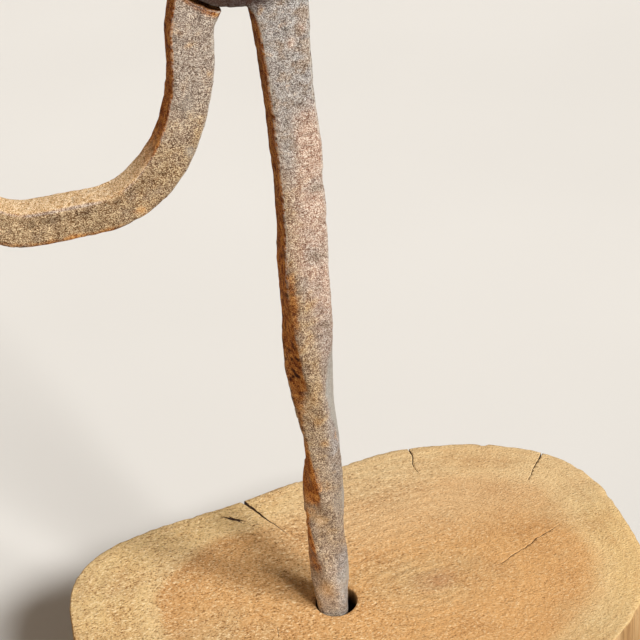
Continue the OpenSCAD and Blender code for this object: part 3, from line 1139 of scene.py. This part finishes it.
@dataclass
class Arm(Lever):
    """The moving lever: a bar that leaves the back boss, bends under and rises to the candle socket."""

    arm_w: float = 8.0
    arm_d: float = 6.2
    arm_end: float = 5.9
    arm_out: float = 9.1
    arm_drop: float = 16.0
    bend_r: float = 20.0
    bend_deep: float = 31.0
    bend_flat: float = 10.5
    arm_rise: float = 4.0
    tenon_r: float = 2.2
    floor_t: float = 2.4
    peen: float = 1.0
    peen_dome: float = 0.25
    leg_steps: int = 40
    turn_steps: int = 40
    rise_steps: int = 6

    PATCHES: ClassVar[dict[str, Rows]] = {
        "brown": ((-31, -48.5, 3.5, 1.6, 0.5),),
        "gold": ((-21, -44, 6, 3, 0.4), (-29, -50, 4, 1.8, 0.4)),
        "rust": ((-23, -46.9, 2.6, 1, 0.32),),
        "bare": ((-11.7, -37.1, 0.9, 1.2, 0.6), (-11.2, -28.1, 1.2, 2.4, 0.35)),
        "stain": (
            (-17.8, -40.4, 1.5, 0.7, 0.3), (-27, -44, 2.2, 0.8, 0.2), (-30.5, -45.2, 2.6, 0.8, 0.2),
            (-31, -48.8, 3, 1.2, 0.2),
        ),
    }

    @property
    def seat(self) -> Array:
        """Gives the middle of the seat that the candle socket stands on."""
        across = self.arm_out + 2 * self.bend_r + self.bend_flat
        return self.lap.pivot + np.array([-across, 0, self.arm_rise - self.arm_drop])

    def path(self) -> Array:
        """Lists the bar's middle from the pivot: a cubic curve, two quarters of an oval, a straight rise.

        Returns:
            X and Z of each point.
        """
        out, drop, r, steps = self.arm_out, self.arm_drop, self.bend_r, self.turn_steps
        t = np.linspace(0, 1, self.leg_steps + 1)[:, None]
        pulls = np.array([
            [-0.5 * out, 0], [-0.8 * out, -0.5 * drop], [-0.95 * out, -0.78 * drop], [-out, -drop],
        ])
        shares = np.hstack([(1 - t) ** 3, 3 * t * (1 - t) ** 2, 3 * t * t * (1 - t), t ** 3])
        half = np.repeat([0, 1], [steps, steps + 1])
        part = np.concatenate([np.arange(1, steps + 1), np.arange(steps + 1)]) / steps
        turn = np.pi / 2 * (half + part)
        across = r * np.cos(turn) - r - out - half * self.bend_flat
        bend = np.stack([across, -drop - self.bend_deep * np.sin(turn)], axis=1)
        up = np.linspace(0, 1, self.rise_steps + 1)[1:]
        rise = np.stack([np.full_like(up, bend[-1, 0]), up * self.arm_rise - drop], axis=1)
        return np.concatenate([shares @ pulls, bend, rise])

    def heading(self) -> Array:
        """Gives the path's unit direction at each point, from the point before to the point after.

        Returns:
            X and Z of each direction, which ends straight up.
        """
        path = self.path()
        step = np.vstack([path[1:], path[-1:]]) - np.vstack([path[:1], path[:-1]])
        step[-1] = [0, 1]
        return step / np.linalg.norm(step, axis=1)[:, None]

    def beside(self, points: Array) -> tuple[Array, Array]:
        """Finds where points lie along the bar, by the nearest point of its path, and how far to the inside.

        Args:
            points: Places in millimetres.

        Returns:
            Number of the nearest path point, and millimetres from it towards the inside of the bend.
        """
        path, step = self.path(), self.heading()
        flat = (points - self.lap.pivot)[:, [0, 2]]
        near = np.argmin(((flat[:, None] - path) ** 2).sum(axis=2), axis=1)
        off = flat - path[near]
        return near, off[:, 0] * step[near, 1] - off[:, 1] * step[near, 0]

    def bar(self) -> Shell:
        """Carries the section along the path: it narrows to its end and flares where it leaves the boss.

        Returns:
            The bar.
        """
        path, step = self.path(), self.heading()
        k = np.arange(len(path))
        far = (k / k[-1]) ** 1.6
        flare = 0.9 * self.arm_w * np.maximum(0, 1 - k / (0.9 * self.leg_steps)) ** 2
        w = self.arm_w + (self.arm_end - self.arm_w) * far + flare
        d = self.arm_d + (self.arm_end - self.arm_d) * far
        none = np.zeros(len(path))
        middle = self.lap.pivot + np.stack([path[:, 0] + flare / 2, none, path[:, 1]], axis=1)
        wide = np.stack([step[:, 1], none, -step[:, 0]], axis=1)
        deep = np.tile([0.0, 1.0, 0.0], (len(path), 1))
        return lofted(bar_rings(middle, wide, deep, w, d, self.corner))

    def extras(self) -> list[tuple[Joining, Shell]]:
        """Makes the tenon through the socket's floor: circles that widen where it is peened over.

        Returns:
            The tenon, to be welded on.
        """
        radii = np.array([self.tenon_r, self.tenon_r, self.tenon_r + self.peen, 0.6 * self.tenon_r])
        rises = np.array([-1.0, self.floor_t / 2, self.floor_t, self.floor_t + self.peen_dome])
        return [(Joining.WELD, lofted(turned(radii, rises, 64) + self.seat))]

    def calm(self, points: Array) -> Array:
        """Keeps the seat and the tenon smooth as well."""
        x, y, z = (points - self.seat).T
        return super().calm(points) * np.maximum(eased(np.hypot(x, y), 5, 8), eased(-z, 0.3, 2))

    def weathering(self, points: Array, normals: Array) -> dict[str, Array]:
        """Gives the arm its tones: brown and pink round the bend, rust and painted shade on its left faces
        and in the crotch, and pale gold and sand on its top faces for dust and painted light from above.

        Args:
            points: Places in millimetres.
            normals: Directions of the skin there.

        Returns:
            Shares of pink, brown, gold, sand, rust, bare, stain and edge wear, some of which carry painted
            light and shade.
        """
        x, _, z = (points - self.lap.pivot).T
        low = eased(-z, self.arm_drop + 0.2 * self.bend_deep, self.arm_drop + 0.9 * self.bend_deep)
        left = eased(-normals[:, 0], 0.35, 0.8)
        front = eased(-normals[:, 1], 0.1, 0.7)
        under = eased(-normals[:, 2], 0.2, 0.8)
        top = eased(normals[:, 2], 0.25, 0.8)
        near, inner = self.beside(points)
        bend = eased(near, 54, 66) * (1 - eased(near, 108, 124))
        outer = bend * eased(near, 70, 80) * eased(-inner, 1.6, 3)
        # Painted shade in the crotch below the pivot, laid on as rust, with real rust there as well.
        crotch = 1 - eased(self.lap.away(points), self.lap.boss_r + 1, self.lap.boss_r + 2.6)
        crotch *= 1 - 0.7 * eased(normals[:, 1], 0.3, 0.8)
        # Pale sand on faces that look up: dust, and painted light from above.
        dust_and_top_light = eased(normals[:, 2], 0.2, 0.6) * (1 - eased(-normals[:, 1], 0.3, 0.65))
        # Rust on the left faces is also painted warm shade, and rust in the crotch is also painted shade
        # between the levers; undersides and the bend's outer side take rust.
        rust = np.maximum.reduce([left * (1 - 0.9 * top), 0.35 * under, 0.8 * crotch, 0.6 * outer])
        grain = eased(Field(self.relief.seed + 9).at(points, 1.1), -0.35, 0.45)
        streak = np.exp(-((inner - 2.2) / 1.4) ** 2) * grain
        arris = self.arris(normals)
        on_front = self.patches(x, z, front)
        return {
            # Top faces trade brown for pale gold: painted light from above.
            "pink": 0.3 + 0.15 * low,
            "brown": (0.38 + 0.44 * low) * (1 - top) + on_front["brown"],
            "gold": 0.5 * top + on_front["gold"],
            "sand": dust_and_top_light + 0.22 * low * front,
            "rust": rust + on_front["rust"],
            "bare": on_front["bare"],
            "stain": 0.4 * bend * front * streak + on_front["stain"],
            # On the bend's outer arris the pale worn tone is wear and also a painted highlight.
            "edge": 0.5 * arris * (1 - bend) - 0.35 * bend + 0.5 * arris * bend * eased(-inner, 1.2, 2.6),
        }


@dataclass
class PivotRivet:
    """The hammered rivet: a shank with two domed heads."""

    lap: Lap
    head_r: float = 4.5
    head_h: float = 1.8
    relief: Relief = Relief(61, ((3.0, 0.16), (1.2, 0.06)), 1.0, 0.08)
    dome_rows: int = 26
    under_rows: int = 5
    shank_rows: int = 10

    def mesh(self, name: str) -> Mesh:
        """Turns the half outline of dome, shank and dome round the pivot's axis, and hammers the domes.

        Args:
            name: Name of the mesh.

        Returns:
            The finished mesh.
        """
        front = -(self.lap.gap / 2 + self.lap.boss_t)
        back = -front + self.lap.gap
        dome_r = (self.head_r ** 2 + self.head_h ** 2) / (2 * self.head_h)
        swing = np.linspace(0.03, 1, self.dome_rows) * math.asin(self.head_r / dome_r)
        out = dome_r * np.sin(swing)
        high = self.head_h - dome_r * (1 - np.cos(swing))
        under = np.linspace(self.head_r, self.lap.rivet_r, self.under_rows + 1)[1:]
        shank = np.linspace(front, back, self.shank_rows + 2)[1:-1]
        radii = np.concatenate([out, under, np.full_like(shank, self.lap.rivet_r), under[::-1], out[::-1]])
        depths = np.concatenate([
            front - high, np.full_like(under, front), shank, np.full_like(under, back), (back + high)[::-1],
        ])
        mesh = lofted(turned(radii, depths, 120, axis=1) + self.lap.pivot).mesh(name)
        points, _ = mesh_points(mesh)
        depth = points[:, 1]
        free = np.maximum(eased(front - depth, 0.1, 0.7), eased(depth - back, 0.1, 0.7))
        proud = self.relief.press(mesh, free)
        blotch = Field(self.relief.seed + 6).at(points, 4.0)
        store(
            mesh, wear=0.6 * eased(proud, 0.02, 0.12), hollow=0.6 * eased(-proud, 0.02, 0.15),
            pink=0.3 + 0.3 * blotch, brown=0.55 - 0.3 * blotch, gold=0 * blotch, sand=0 * blotch,
            rust=0.35 + 0.4 * blotch, bare=0.3 * free,
        )
        return mesh


@dataclass
class CandleSocket:
    """The rolled sheet socket, open at its seam, and the disc that it stands on."""

    seat: Array
    bore_r: float = 10.0
    wall: float = 1.3
    high: float = 25.0
    seam_w: float = 1.0
    floor_t: float = 2.4
    floor_edge: float = 0.5
    tenon_r: float = 2.2
    peen: float = 1.0
    tenon_clear: float = 0.12
    dent: float = 0.12
    flat: float = 0.1
    flats: int = 9
    ragged: float = 0.35
    wall_rows: int = 44
    wall_columns: int = 220
    floor_rows: int = 22
    wall_relief: Relief = Relief(75, ((6.0, 0.05), (1.5, 0.03)), 1.2, 0.06)
    floor_relief: Relief = Relief(81, ((4.0, 0.05), (1.5, 0.03)), 1.2, 0.05)

    def wall_mesh(self, name: str) -> Mesh:
        """Rolls the sheet: its section, a rounded strip, carried round the bore from one lip to the other.

        Args:
            name: Name of the mesh.

        Returns:
            The finished mesh, with an uneven rim and faint flats from the hammer.
        """
        half_seam = self.seam_w / 2 / (self.bore_r + self.wall / 2)
        turn = np.pi + np.linspace(half_seam, math.tau - half_seam, self.wall_columns)
        edge = 0.45 * self.wall
        c, s = quarter(edge)
        out, top = self.bore_r + self.wall, self.high - edge
        near, far = self.bore_r + edge, out - edge
        climb = np.linspace(edge, top, self.wall_rows)
        descent = climb[-2:0:-1]
        radii = np.concatenate([
            np.full_like(climb, out), far + c[1:], near - s,
            np.full_like(descent, self.bore_r), near - c, far + s[:-1],
        ])
        rises = np.concatenate([climb, top + s[1:], top + c, descent, edge - s, edge - c[:-1]])
        ring = np.stack([np.cos(turn), np.sin(turn), np.zeros_like(turn)], axis=1)
        flats = self.dent * Field(71).at(20 * ring, 9.0) + self.flat * np.cos(self.flats * turn)
        lip = self.ragged * Field(72).at(30 * ring, 7.0)
        share = np.clip(rises / self.high, 0, 1)
        radius = radii + (flats[:, None] - self.flat) * share
        height = rises + (lip[:, None] - self.ragged) * share ** 3
        rings = np.stack([radius * ring[:, :1], radius * ring[:, 1:2], height], axis=-1)
        mesh = lofted(rings + self.seat + [0, 0, self.floor_t]).mesh(name)
        self.rust(mesh, self.wall_relief, 0.3)
        return mesh

    def floor_mesh(self, name: str) -> Mesh:
        """Turns the disc's outline round the socket's axis, with a countersunk hole for the tenon.

        Args:
            name: Name of the mesh.

        Returns:
            The finished mesh, which is a closed ring.
        """
        thick, edge = self.floor_t, self.floor_edge
        c, s = quarter(edge)
        far = self.bore_r + self.wall - edge
        hole = self.tenon_r + self.tenon_clear
        sink = hole + self.peen
        outward = np.linspace(sink, far, self.floor_rows)[1:]
        inward = np.linspace(far, hole, self.floor_rows)[1:-1]
        radii = np.concatenate([
            np.full(4, hole), [hole + self.peen / 2, sink], outward, far + s[1:], far + c, inward,
        ])
        rises = np.concatenate([
            np.linspace(0, thick / 2, 4), [0.75 * thick, thick], np.full_like(outward, thick),
            thick - edge + c[1:], edge - s, np.zeros_like(inward),
        ])
        mesh = lofted(turned(radii, rises, 160) + self.seat, endless=True).mesh(name)
        self.rust(mesh, self.floor_relief, 0.45)
        return mesh

    def rust(self, mesh: Mesh, relief: Relief, level: float) -> None:
        """Gives the sheet its relief and its rust, heaviest low down.

        Args:
            mesh: The mesh to weather.
            relief: Its relief.
            level: Share of rust in all.
        """
        points, normals = mesh_points(mesh)
        rise = points[:, 2] - self.seat[2]
        proud = relief.press(mesh, eased(np.abs(rise - self.floor_t), 0.2, 1.0), passes=4)
        blotch = Field(relief.seed + 7).at(points, 6.0)
        low = 1 - eased(rise, 0, 0.6 * self.high)
        store(
            mesh, wear=0.6 * eased(proud, 0.03, 0.15), hollow=0.5 * eased(-proud, 0.02, 0.15),
            pink=0.3 + 0.35 * blotch, brown=0.5 - 0.3 * blotch, gold=0.2 - 0.2 * blotch,
            sand=0.4 * eased(normals[:, 2], 0.5, 0.9), rust=level + 0.3 * low + 0.35 * blotch,
            bare=0 * blotch,
        )


@dataclass
class LogSlice:
    """The base: a slice of a log with a bored hole, a worn rim, drying checks and a peeled side."""

    left: float = 57.0
    right: float = 69.0
    back: float = 37.6
    front: float = 43.0
    thick: float = 38.0
    lean: float = 0.02
    flare: float = 1.5
    edge: float = 0.9
    bore_r: float = 4.5
    bore_depth: float = 30.0
    left_square: float = 4.3
    right_square: float = 3.4
    front_square: float = 2.4
    swell: float = 6.0
    swell_x: float = 27.0
    swell_w: float = 33.0
    pith: tuple[float, float] = (23.8, -1.6)
    columns: int = 640
    top_rows: int = 66
    side_rows: int = 24
    under_rows: int = 22

    # Each check's mouth, where it closes, its width, depth and sway, and the seed of its line: three that
    # open through the rim, a fine one near the heart, two that make a gouge, and a slit.
    CHECKS: ClassVar[tuple[tuple[Any, ...], ...]] = (
        ((-13.9, 42.8), (-4.4, 23.4), 1.5, 25, 0.12, 11),
        ((30.5, 47.5), (30.0, 33.8), 0.7, 18, 0.35, 14),
        ((62.4, 34.6), (53.2, 23.0), 0.6, 18, 0.35, 17),
        ((54.6, 6.3), (37.4, -1.0), 0.1, 1.5, 0.35, 20),
        ((-17.8, 34.8), (-12.6, 31.4), 1.0, 1.2, 0.15, 23),
        ((-15.9, 34.4), (-13.6, 31.2), 0.9, 1, 0.1, 29),
        ((-14.6, -6.4), (-14.2, -3.4), 0.05, 0.4, 0.1, 26),
    )

    def rim(self, bearing: Array, grow: Array | float) -> Array:
        """Gives the outline: a leaning, rounded square in polar form, squarer at the left, swollen behind.

        Args:
            bearing: Angle round the hole.
            grow: Growth past the outline, which broadcasts with bearing.

        Returns:
            X and Y.
        """
        c, s = np.cos(bearing), np.sin(bearing)
        power = np.where(s < 0, self.front_square, np.where(c < 0, self.left_square, self.right_square))
        across = np.abs(c) / np.where(c < 0, self.left, self.right)
        deep = np.abs(s) / np.where(s < 0, self.front, self.back)
        r = (across ** power + deep ** power) ** (-1 / power) + grow
        bump = self.swell * np.clip(3 * s, 0, 1) * np.exp(-((r * c - self.swell_x) / self.swell_w) ** 2)
        return np.stack([r * c, r * s + self.lean * r * c + bump], axis=-1)

    def skin(self) -> Shell:
        """Carries the slice's profile round the hole: out over the top, down the side and back under.

        Returns:
            The closed shell.
        """
        drawn, sunk = self.edge - quarter(self.edge, 6)
        top, low = self.thick, self.thick - self.bore_depth
        side = np.linspace(0, 1, self.side_rows)[1:-1]
        # Share of the hole's radius, share of the way to the rim, growth past the rim, and height.
        parts = (
            ([0.4, 0.97], 0, 0, low),
            (1, 0, 0, np.linspace(low + 0.5, top - 0.5, 9)),
            ([1.02, 1.06], 0, 0, [top - 0.15, top]),
            (1.06, np.linspace(0.012, 0.985, self.top_rows), -self.edge, top),
            (1, 1, -drawn[::-1], top - sunk[::-1]),
            (1, 1, self.flare * side, top - self.edge - (top - 2 * self.edge) * side),
            (1, 1, self.flare - drawn, sunk),
            (1, np.linspace(0.985, 0.03, self.under_rows), self.flare - self.edge, 0),
        )
        rows = np.concatenate([
            np.stack(np.broadcast_arrays(*(np.atleast_1d(value) for value in part)), axis=1)
            for part in parts
        ])
        hole, share, grow, z = rows.astype(float).T[..., None]
        bearing = np.linspace(0, math.tau, self.columns, endpoint=False)[None]
        inner = self.bore_r * hole[..., None] * np.stack([np.cos(bearing), np.sin(bearing)], axis=-1)
        outline = (1 - share)[..., None] * inner + share[..., None] * self.rim(bearing, grow)
        heights = np.broadcast_to(z[..., None], (*outline.shape[:2], 1))
        return lofted(np.concatenate([outline, heights], axis=-1))

    def split(
        self, start: tuple[float, float], end: tuple[float, float], mouth: float, depth: float, sway: float,
        seed: int,
    ) -> Shell:
        """Makes the room of a drying check: a wandering wedge, widest at its mouth and narrow at its foot.

        Args:
            start: X and Y of its mouth.
            end: X and Y where it closes.
            mouth: Its width.
            depth: How far down it runs; one of less than 4 mm tapers at both ends.
            sway: How far its line wanders to each side.
            seed: Seed of that line.

        Returns:
            The wedge, which reaches above the top.
        """
        t = np.linspace(0, 1, 60)
        line = np.array(end) - np.array(start)
        length = np.linalg.norm(line)
        aside = np.array([-line[1], line[0]]) / length
        track = np.stack([t * length, 0 * t, 0 * t], axis=1)
        wander = sway * (Field(seed).at(track, 3.4) + 0.4 * Field(seed + 1).at(track, 1.0))
        taper = np.sin(np.pi * t) ** 0.7 if depth < 4 else (1 - t) ** 1.8
        half = mouth / 2 * taper * (1 + 0.3 * Field(seed + 2).at(track, 1.4)) + 0.06
        foot = self.thick - 0.5 - depth * np.sqrt(taper)
        over = np.full_like(t, self.thick + 2)
        middle = np.array(start) + t[:, None] * line + wander[:, None] * aside
        outs = half[:, None] * np.array([-1, 1, 0.15, -0.15])
        flat = middle[:, None] + outs[..., None] * aside
        heights = np.stack([over, over, foot, foot], axis=1)
        return lofted(np.concatenate([flat, heights[..., None]], axis=-1))

    def ring_number(self, points: Array) -> Array:
        """Gives each point's share of the way from the pith to the rim, along its own direction.

        Args:
            points: Places in millimetres.

        Returns:
            0 at the pith, 1 at the rim.
        """
        bearing = np.linspace(0, math.tau, 720, endpoint=False)
        rim = self.rim(bearing, 0) - self.pith
        off = points[:, :2] - self.pith
        toward_it = np.arctan2(off[:, 1], off[:, 0])
        reach = np.interp(toward_it, np.arctan2(rim[:, 1], rim[:, 0]), np.hypot(*rim.T), period=math.tau)
        return np.hypot(*off.T) / reach

    def wear(self, points: Array, normals: Array) -> Array:
        """Works out the relief: waves, fuzz and rings on the end grain, fibres down the side, a chipped
        rim, each a sum of smooth fields.

        Args:
            points: Places in millimetres.
            normals: Directions of the skin there.

        Returns:
            Its height at each point, in millimetres, which is 0 in the hole and on the underside.
        """
        ring = self.ring_number(points)
        end = eased(np.abs(normals[:, 2]), 0.5, 0.85)
        # Seed, height, pitch and squeeze along Z of each layer.
        top, side, chips = (
            sum(
                high * Field(seed).at(points * [1, 1, squeeze], pitch)
                for seed, high, pitch, squeeze in layers
            )
            for layers in (
                ((31, 0.22, 21.0, 1), (32, 0.07, 2.4, 1), (33, 0.05, 1.0, 1)),
                ((34, 0.45, 14.0, 0.3), (35, 0.14, 2.6, 0.06), (36, 0.1, 1.1, 0.06)),
                ((37, 1, 3.0, 0.4),),
            )
        )
        top += 0.05 * np.sin(math.tau * 19 * ring)
        near_rim = eased(ring, 0.9, 0.99) * eased(points[:, 2], self.thick - 3, self.thick - 0.5)
        height = end * top + (1 - end) * side - 0.3 * near_rim * eased(chips, 0.35, 0.9)
        clear = eased(np.hypot(points[:, 0], points[:, 1]), self.bore_r + 0.2, self.bore_r + 1)
        return height * clear * eased(points[:, 2], 0, 1.5)

    def mesh(self, name: str) -> Mesh:
        """Saws, wears and splits the slice.

        Args:
            name: Name of the mesh.

        Returns:
            The finished mesh, with what its finish reads: ring number, end grain, torn fibres and so on.
        """
        shell = self.skin()
        smooth = shell.mesh(name)
        points, normals = mesh_points(smooth)
        bpy.data.meshes.remove(smooth)
        shell.points = points + normals * self.wear(points, normals)[:, None]
        checks = [(Joining.CUT, self.split(*check)) for check in self.CHECKS]
        # The checks' walls take finish 1, the painted shade of the split wood.
        mesh = combined(name, shell, checks, finish=1)
        points, normals = mesh_points(mesh)
        x, y, z = points.T
        # The bore's wall takes the painted bore shade.
        bore = 1 - eased(np.hypot(x, y), self.bore_r + 0.05, self.bore_r + 0.5)
        store(
            mesh,
            ring=self.ring_number(points),
            end=eased(np.abs(normals[:, 2]), 0.4, 0.75),
            torn=np.clip(1.4 - 0.016 * x, 0.7, 1.55),
            clear=along(x, ((-38, 1), (-20, 0.85), (-4, 0.3), (70, 0.45))),
            bore=bore * eased(self.thick - z, 0.1, 2) * eased(z, 0.5, 2),
            faded=0.5 * eased(y, 4, 24) * eased(x, -16, 6),
        )
        return mesh


def toward(azimuth: float, elevation: float) -> Vector:
    """Gives the unit direction at so many degrees to the right of the front and above the floor."""
    a, e = math.radians(azimuth), math.radians(elevation)
    return Vector((math.sin(a) * math.cos(e), -math.cos(a) * math.cos(e), math.sin(e)))


@dataclass(frozen=True)
class Lamp:
    """A far, round, soft light: its direction and its width as seen from the object, in degrees, how bright
    it makes a white surface that faces it, where 1 is white, and its tint."""

    name: str
    azimuth: float
    elevation: float
    spread: float
    level: float
    tint: str = "#ffffff"

    def hang(self, aim: Vector) -> None:
        """Hangs the lamp.

        Args:
            aim: The point that it shines on, in metres.
        """
        away = toward(self.azimuth, self.elevation)
        data = bpy.data.lights.new(self.name, "SUN")
        data.angle = math.radians(self.spread)
        data.energy = self.level * math.pi
        data.color = linear(self.tint)[:3]
        lamp = placed(self.name, data)
        lamp.location = aim + away
        lamp.rotation_euler = away.to_track_quat("Z", "Y").to_euler()


@dataclass
class Studio:
    """The plain pale floor, the soft lights and the camera."""

    base_top: float
    floor_side: float = 12000.0
    floor_drop: float = 0.1
    lamps: tuple[Lamp, ...] = (
        Lamp("right", 46, 41, 13, 0.69),
        Lamp("front", 25, 43, 13, 0.76),
        Lamp("fill", 5, 7, 40, 0.16),
        Lamp("left", -75, 7, 40, 0.36, "#ffe2c4"),
        Lamp("back", 168, 7, 50, 0.3, "#fff0e0"),
    )
    around: float = 0.07
    around_tint: str = "#ffe3c6"
    around_shown: str = "#e9e7e3"
    lens: float = 100.69
    sensor: float = 36.0
    azimuth: float = -13.0
    elevation: float = 36.09
    roll: float = 4.5
    distance: float = 0.39025
    hole_pixel: tuple[float, float] = (336.0, 600.6)

    def floor(self) -> None:
        """Lays the floor just under the base, as a flat grid."""
        side = np.linspace(-0.5, 0.5, 9) * self.floor_side
        x, y = np.meshgrid(side, side, indexing="ij")
        here = np.arange(x.size).reshape(x.shape)
        quads = np.stack([here[:-1, :-1], here[1:, :-1], here[1:, 1:], here[:-1, 1:]], axis=-1)
        points = np.stack([x, y, np.full_like(x, -self.floor_drop)], axis=-1).reshape(-1, 3)
        mesh = Shell(points, quads.reshape(-1, 4), np.empty((0, 3), int)).mesh("floor")
        mesh.materials.clear()
        mesh.materials.append(PaleFloor().material())
        floor = placed("floor", mesh)

    def light(self) -> None:
        """Hangs the lamps, and lights the scene evenly from all round with a faint glow."""
        for lamp in self.lamps:
            lamp.hang(Vector((0, 0, 2 * self.base_top)) * MM)
        world = bpy.data.worlds.new("studio")
        bpy.context.scene.world = world
        world.use_nodes = True
        tree = world.node_tree
        tree.nodes.clear()
        glow = add(tree, "Background", {"Color": self.around_tint, "Strength": self.around})
        sight = add(tree, "Background", {"Color": self.around_shown})
        both = add(tree, "MixShader", (looked_at(tree), glow, sight))
        add(tree, "OutputWorld", {"Surface": both})

    def camera(self) -> None:
        """Sets the camera so that the hole's middle falls on its pixel, at the photograph's angle."""
        a, roll = math.radians(self.azimuth), math.radians(self.roll)
        back = toward(self.azimuth, self.elevation)
        level = Vector((math.cos(a), math.sin(a), 0))
        upright = back.cross(level)
        right = math.cos(roll) * level - math.sin(roll) * upright
        up = math.sin(roll) * level + math.cos(roll) * upright
        focal = self.lens / self.sensor * IMAGE_SIDE
        u, v = ((p - IMAGE_SIDE / 2) / focal for p in self.hole_pixel)
        data = bpy.data.cameras.new("camera")
        data.lens = self.lens
        data.sensor_width = self.sensor
        data.clip_start = 0.01
        camera = placed("camera", data)
        place = Vector((0, 0, self.base_top)) * MM - self.distance * (right * u - up * v - back)
        camera.matrix_world = Matrix.Translation(place) @ Matrix((right, up, back)).transposed().to_4x4()
        bpy.context.scene.camera = camera


def set_piece(
    mesh: Mesh, finishes: Sequence[bpy.types.Material], body: str, node: str,
) -> None:
    """Puts a finished mesh into the scene in the place of its node.

    Args:
        mesh: The mesh, whose name the piece takes.
        finishes: Its finishes, in the order of their numbers.
        body: The body that it moves with.
        node: The node that it stands for.
    """
    for k in range(len(mesh.materials)):
        mesh.materials[k] = finishes[min(k, len(finishes) - 1)]
    piece = placed(mesh.name, mesh)
    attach(piece, body)
    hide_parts(node)
    mesh.calc_loop_triangles()
    log.info("%s rides on %s: %d triangles", piece.name, body, len(mesh.loop_triangles))


def main() -> None:
    """Builds every piece and the studio, in order."""
    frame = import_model()
    pivot = np.array(frame["joints"][0]["pos_m"]) / MM
    base_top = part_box("wood_base")[1].z / MM
    lap = Lap(pivot)
    base = LogSlice(thick=base_top)
    stem = Stem(lap, Side.FRONT, Relief(41), base_top=base_top)
    arm = Arm(lap, Side.BEHIND, Relief(51))
    socket = CandleSocket(arm.seat)
    iron = WroughtIron().material()
    rivet_iron = WroughtIron("rivet_iron", grit=replace(WroughtIron.grit, pitch=0.3)).material()
    sheet = SheetIron().material()
    wood = EndGrainWood().material()
    split = SplitWoodShade().material()
    set_piece(base.mesh("log_slice"), [wood, split], "stand", "wood_base")
    set_piece(stem.mesh("stem_forging"), [iron], "stand", "stem")
    set_piece(PivotRivet(lap).mesh("hammered_rivet"), [rivet_iron], "stand", "pivot_rivet")
    set_piece(arm.mesh("arm_forging"), [iron], "swing_arm", "counterbalance_arm")
    set_piece(socket.wall_mesh("rolled_socket"), [sheet], "swing_arm", "candle_socket")
    set_piece(socket.floor_mesh("socket_disc"), [sheet], "swing_arm", "socket_floor")
    studio = Studio(base_top)
    studio.floor()
    studio.light()
    studio.camera()
    bpy.context.scene.view_settings.view_transform = "Standard"


if __name__ == "__main__":
    logging.basicConfig(level=logging.INFO, format="%(name)s: %(message)s")
    main()
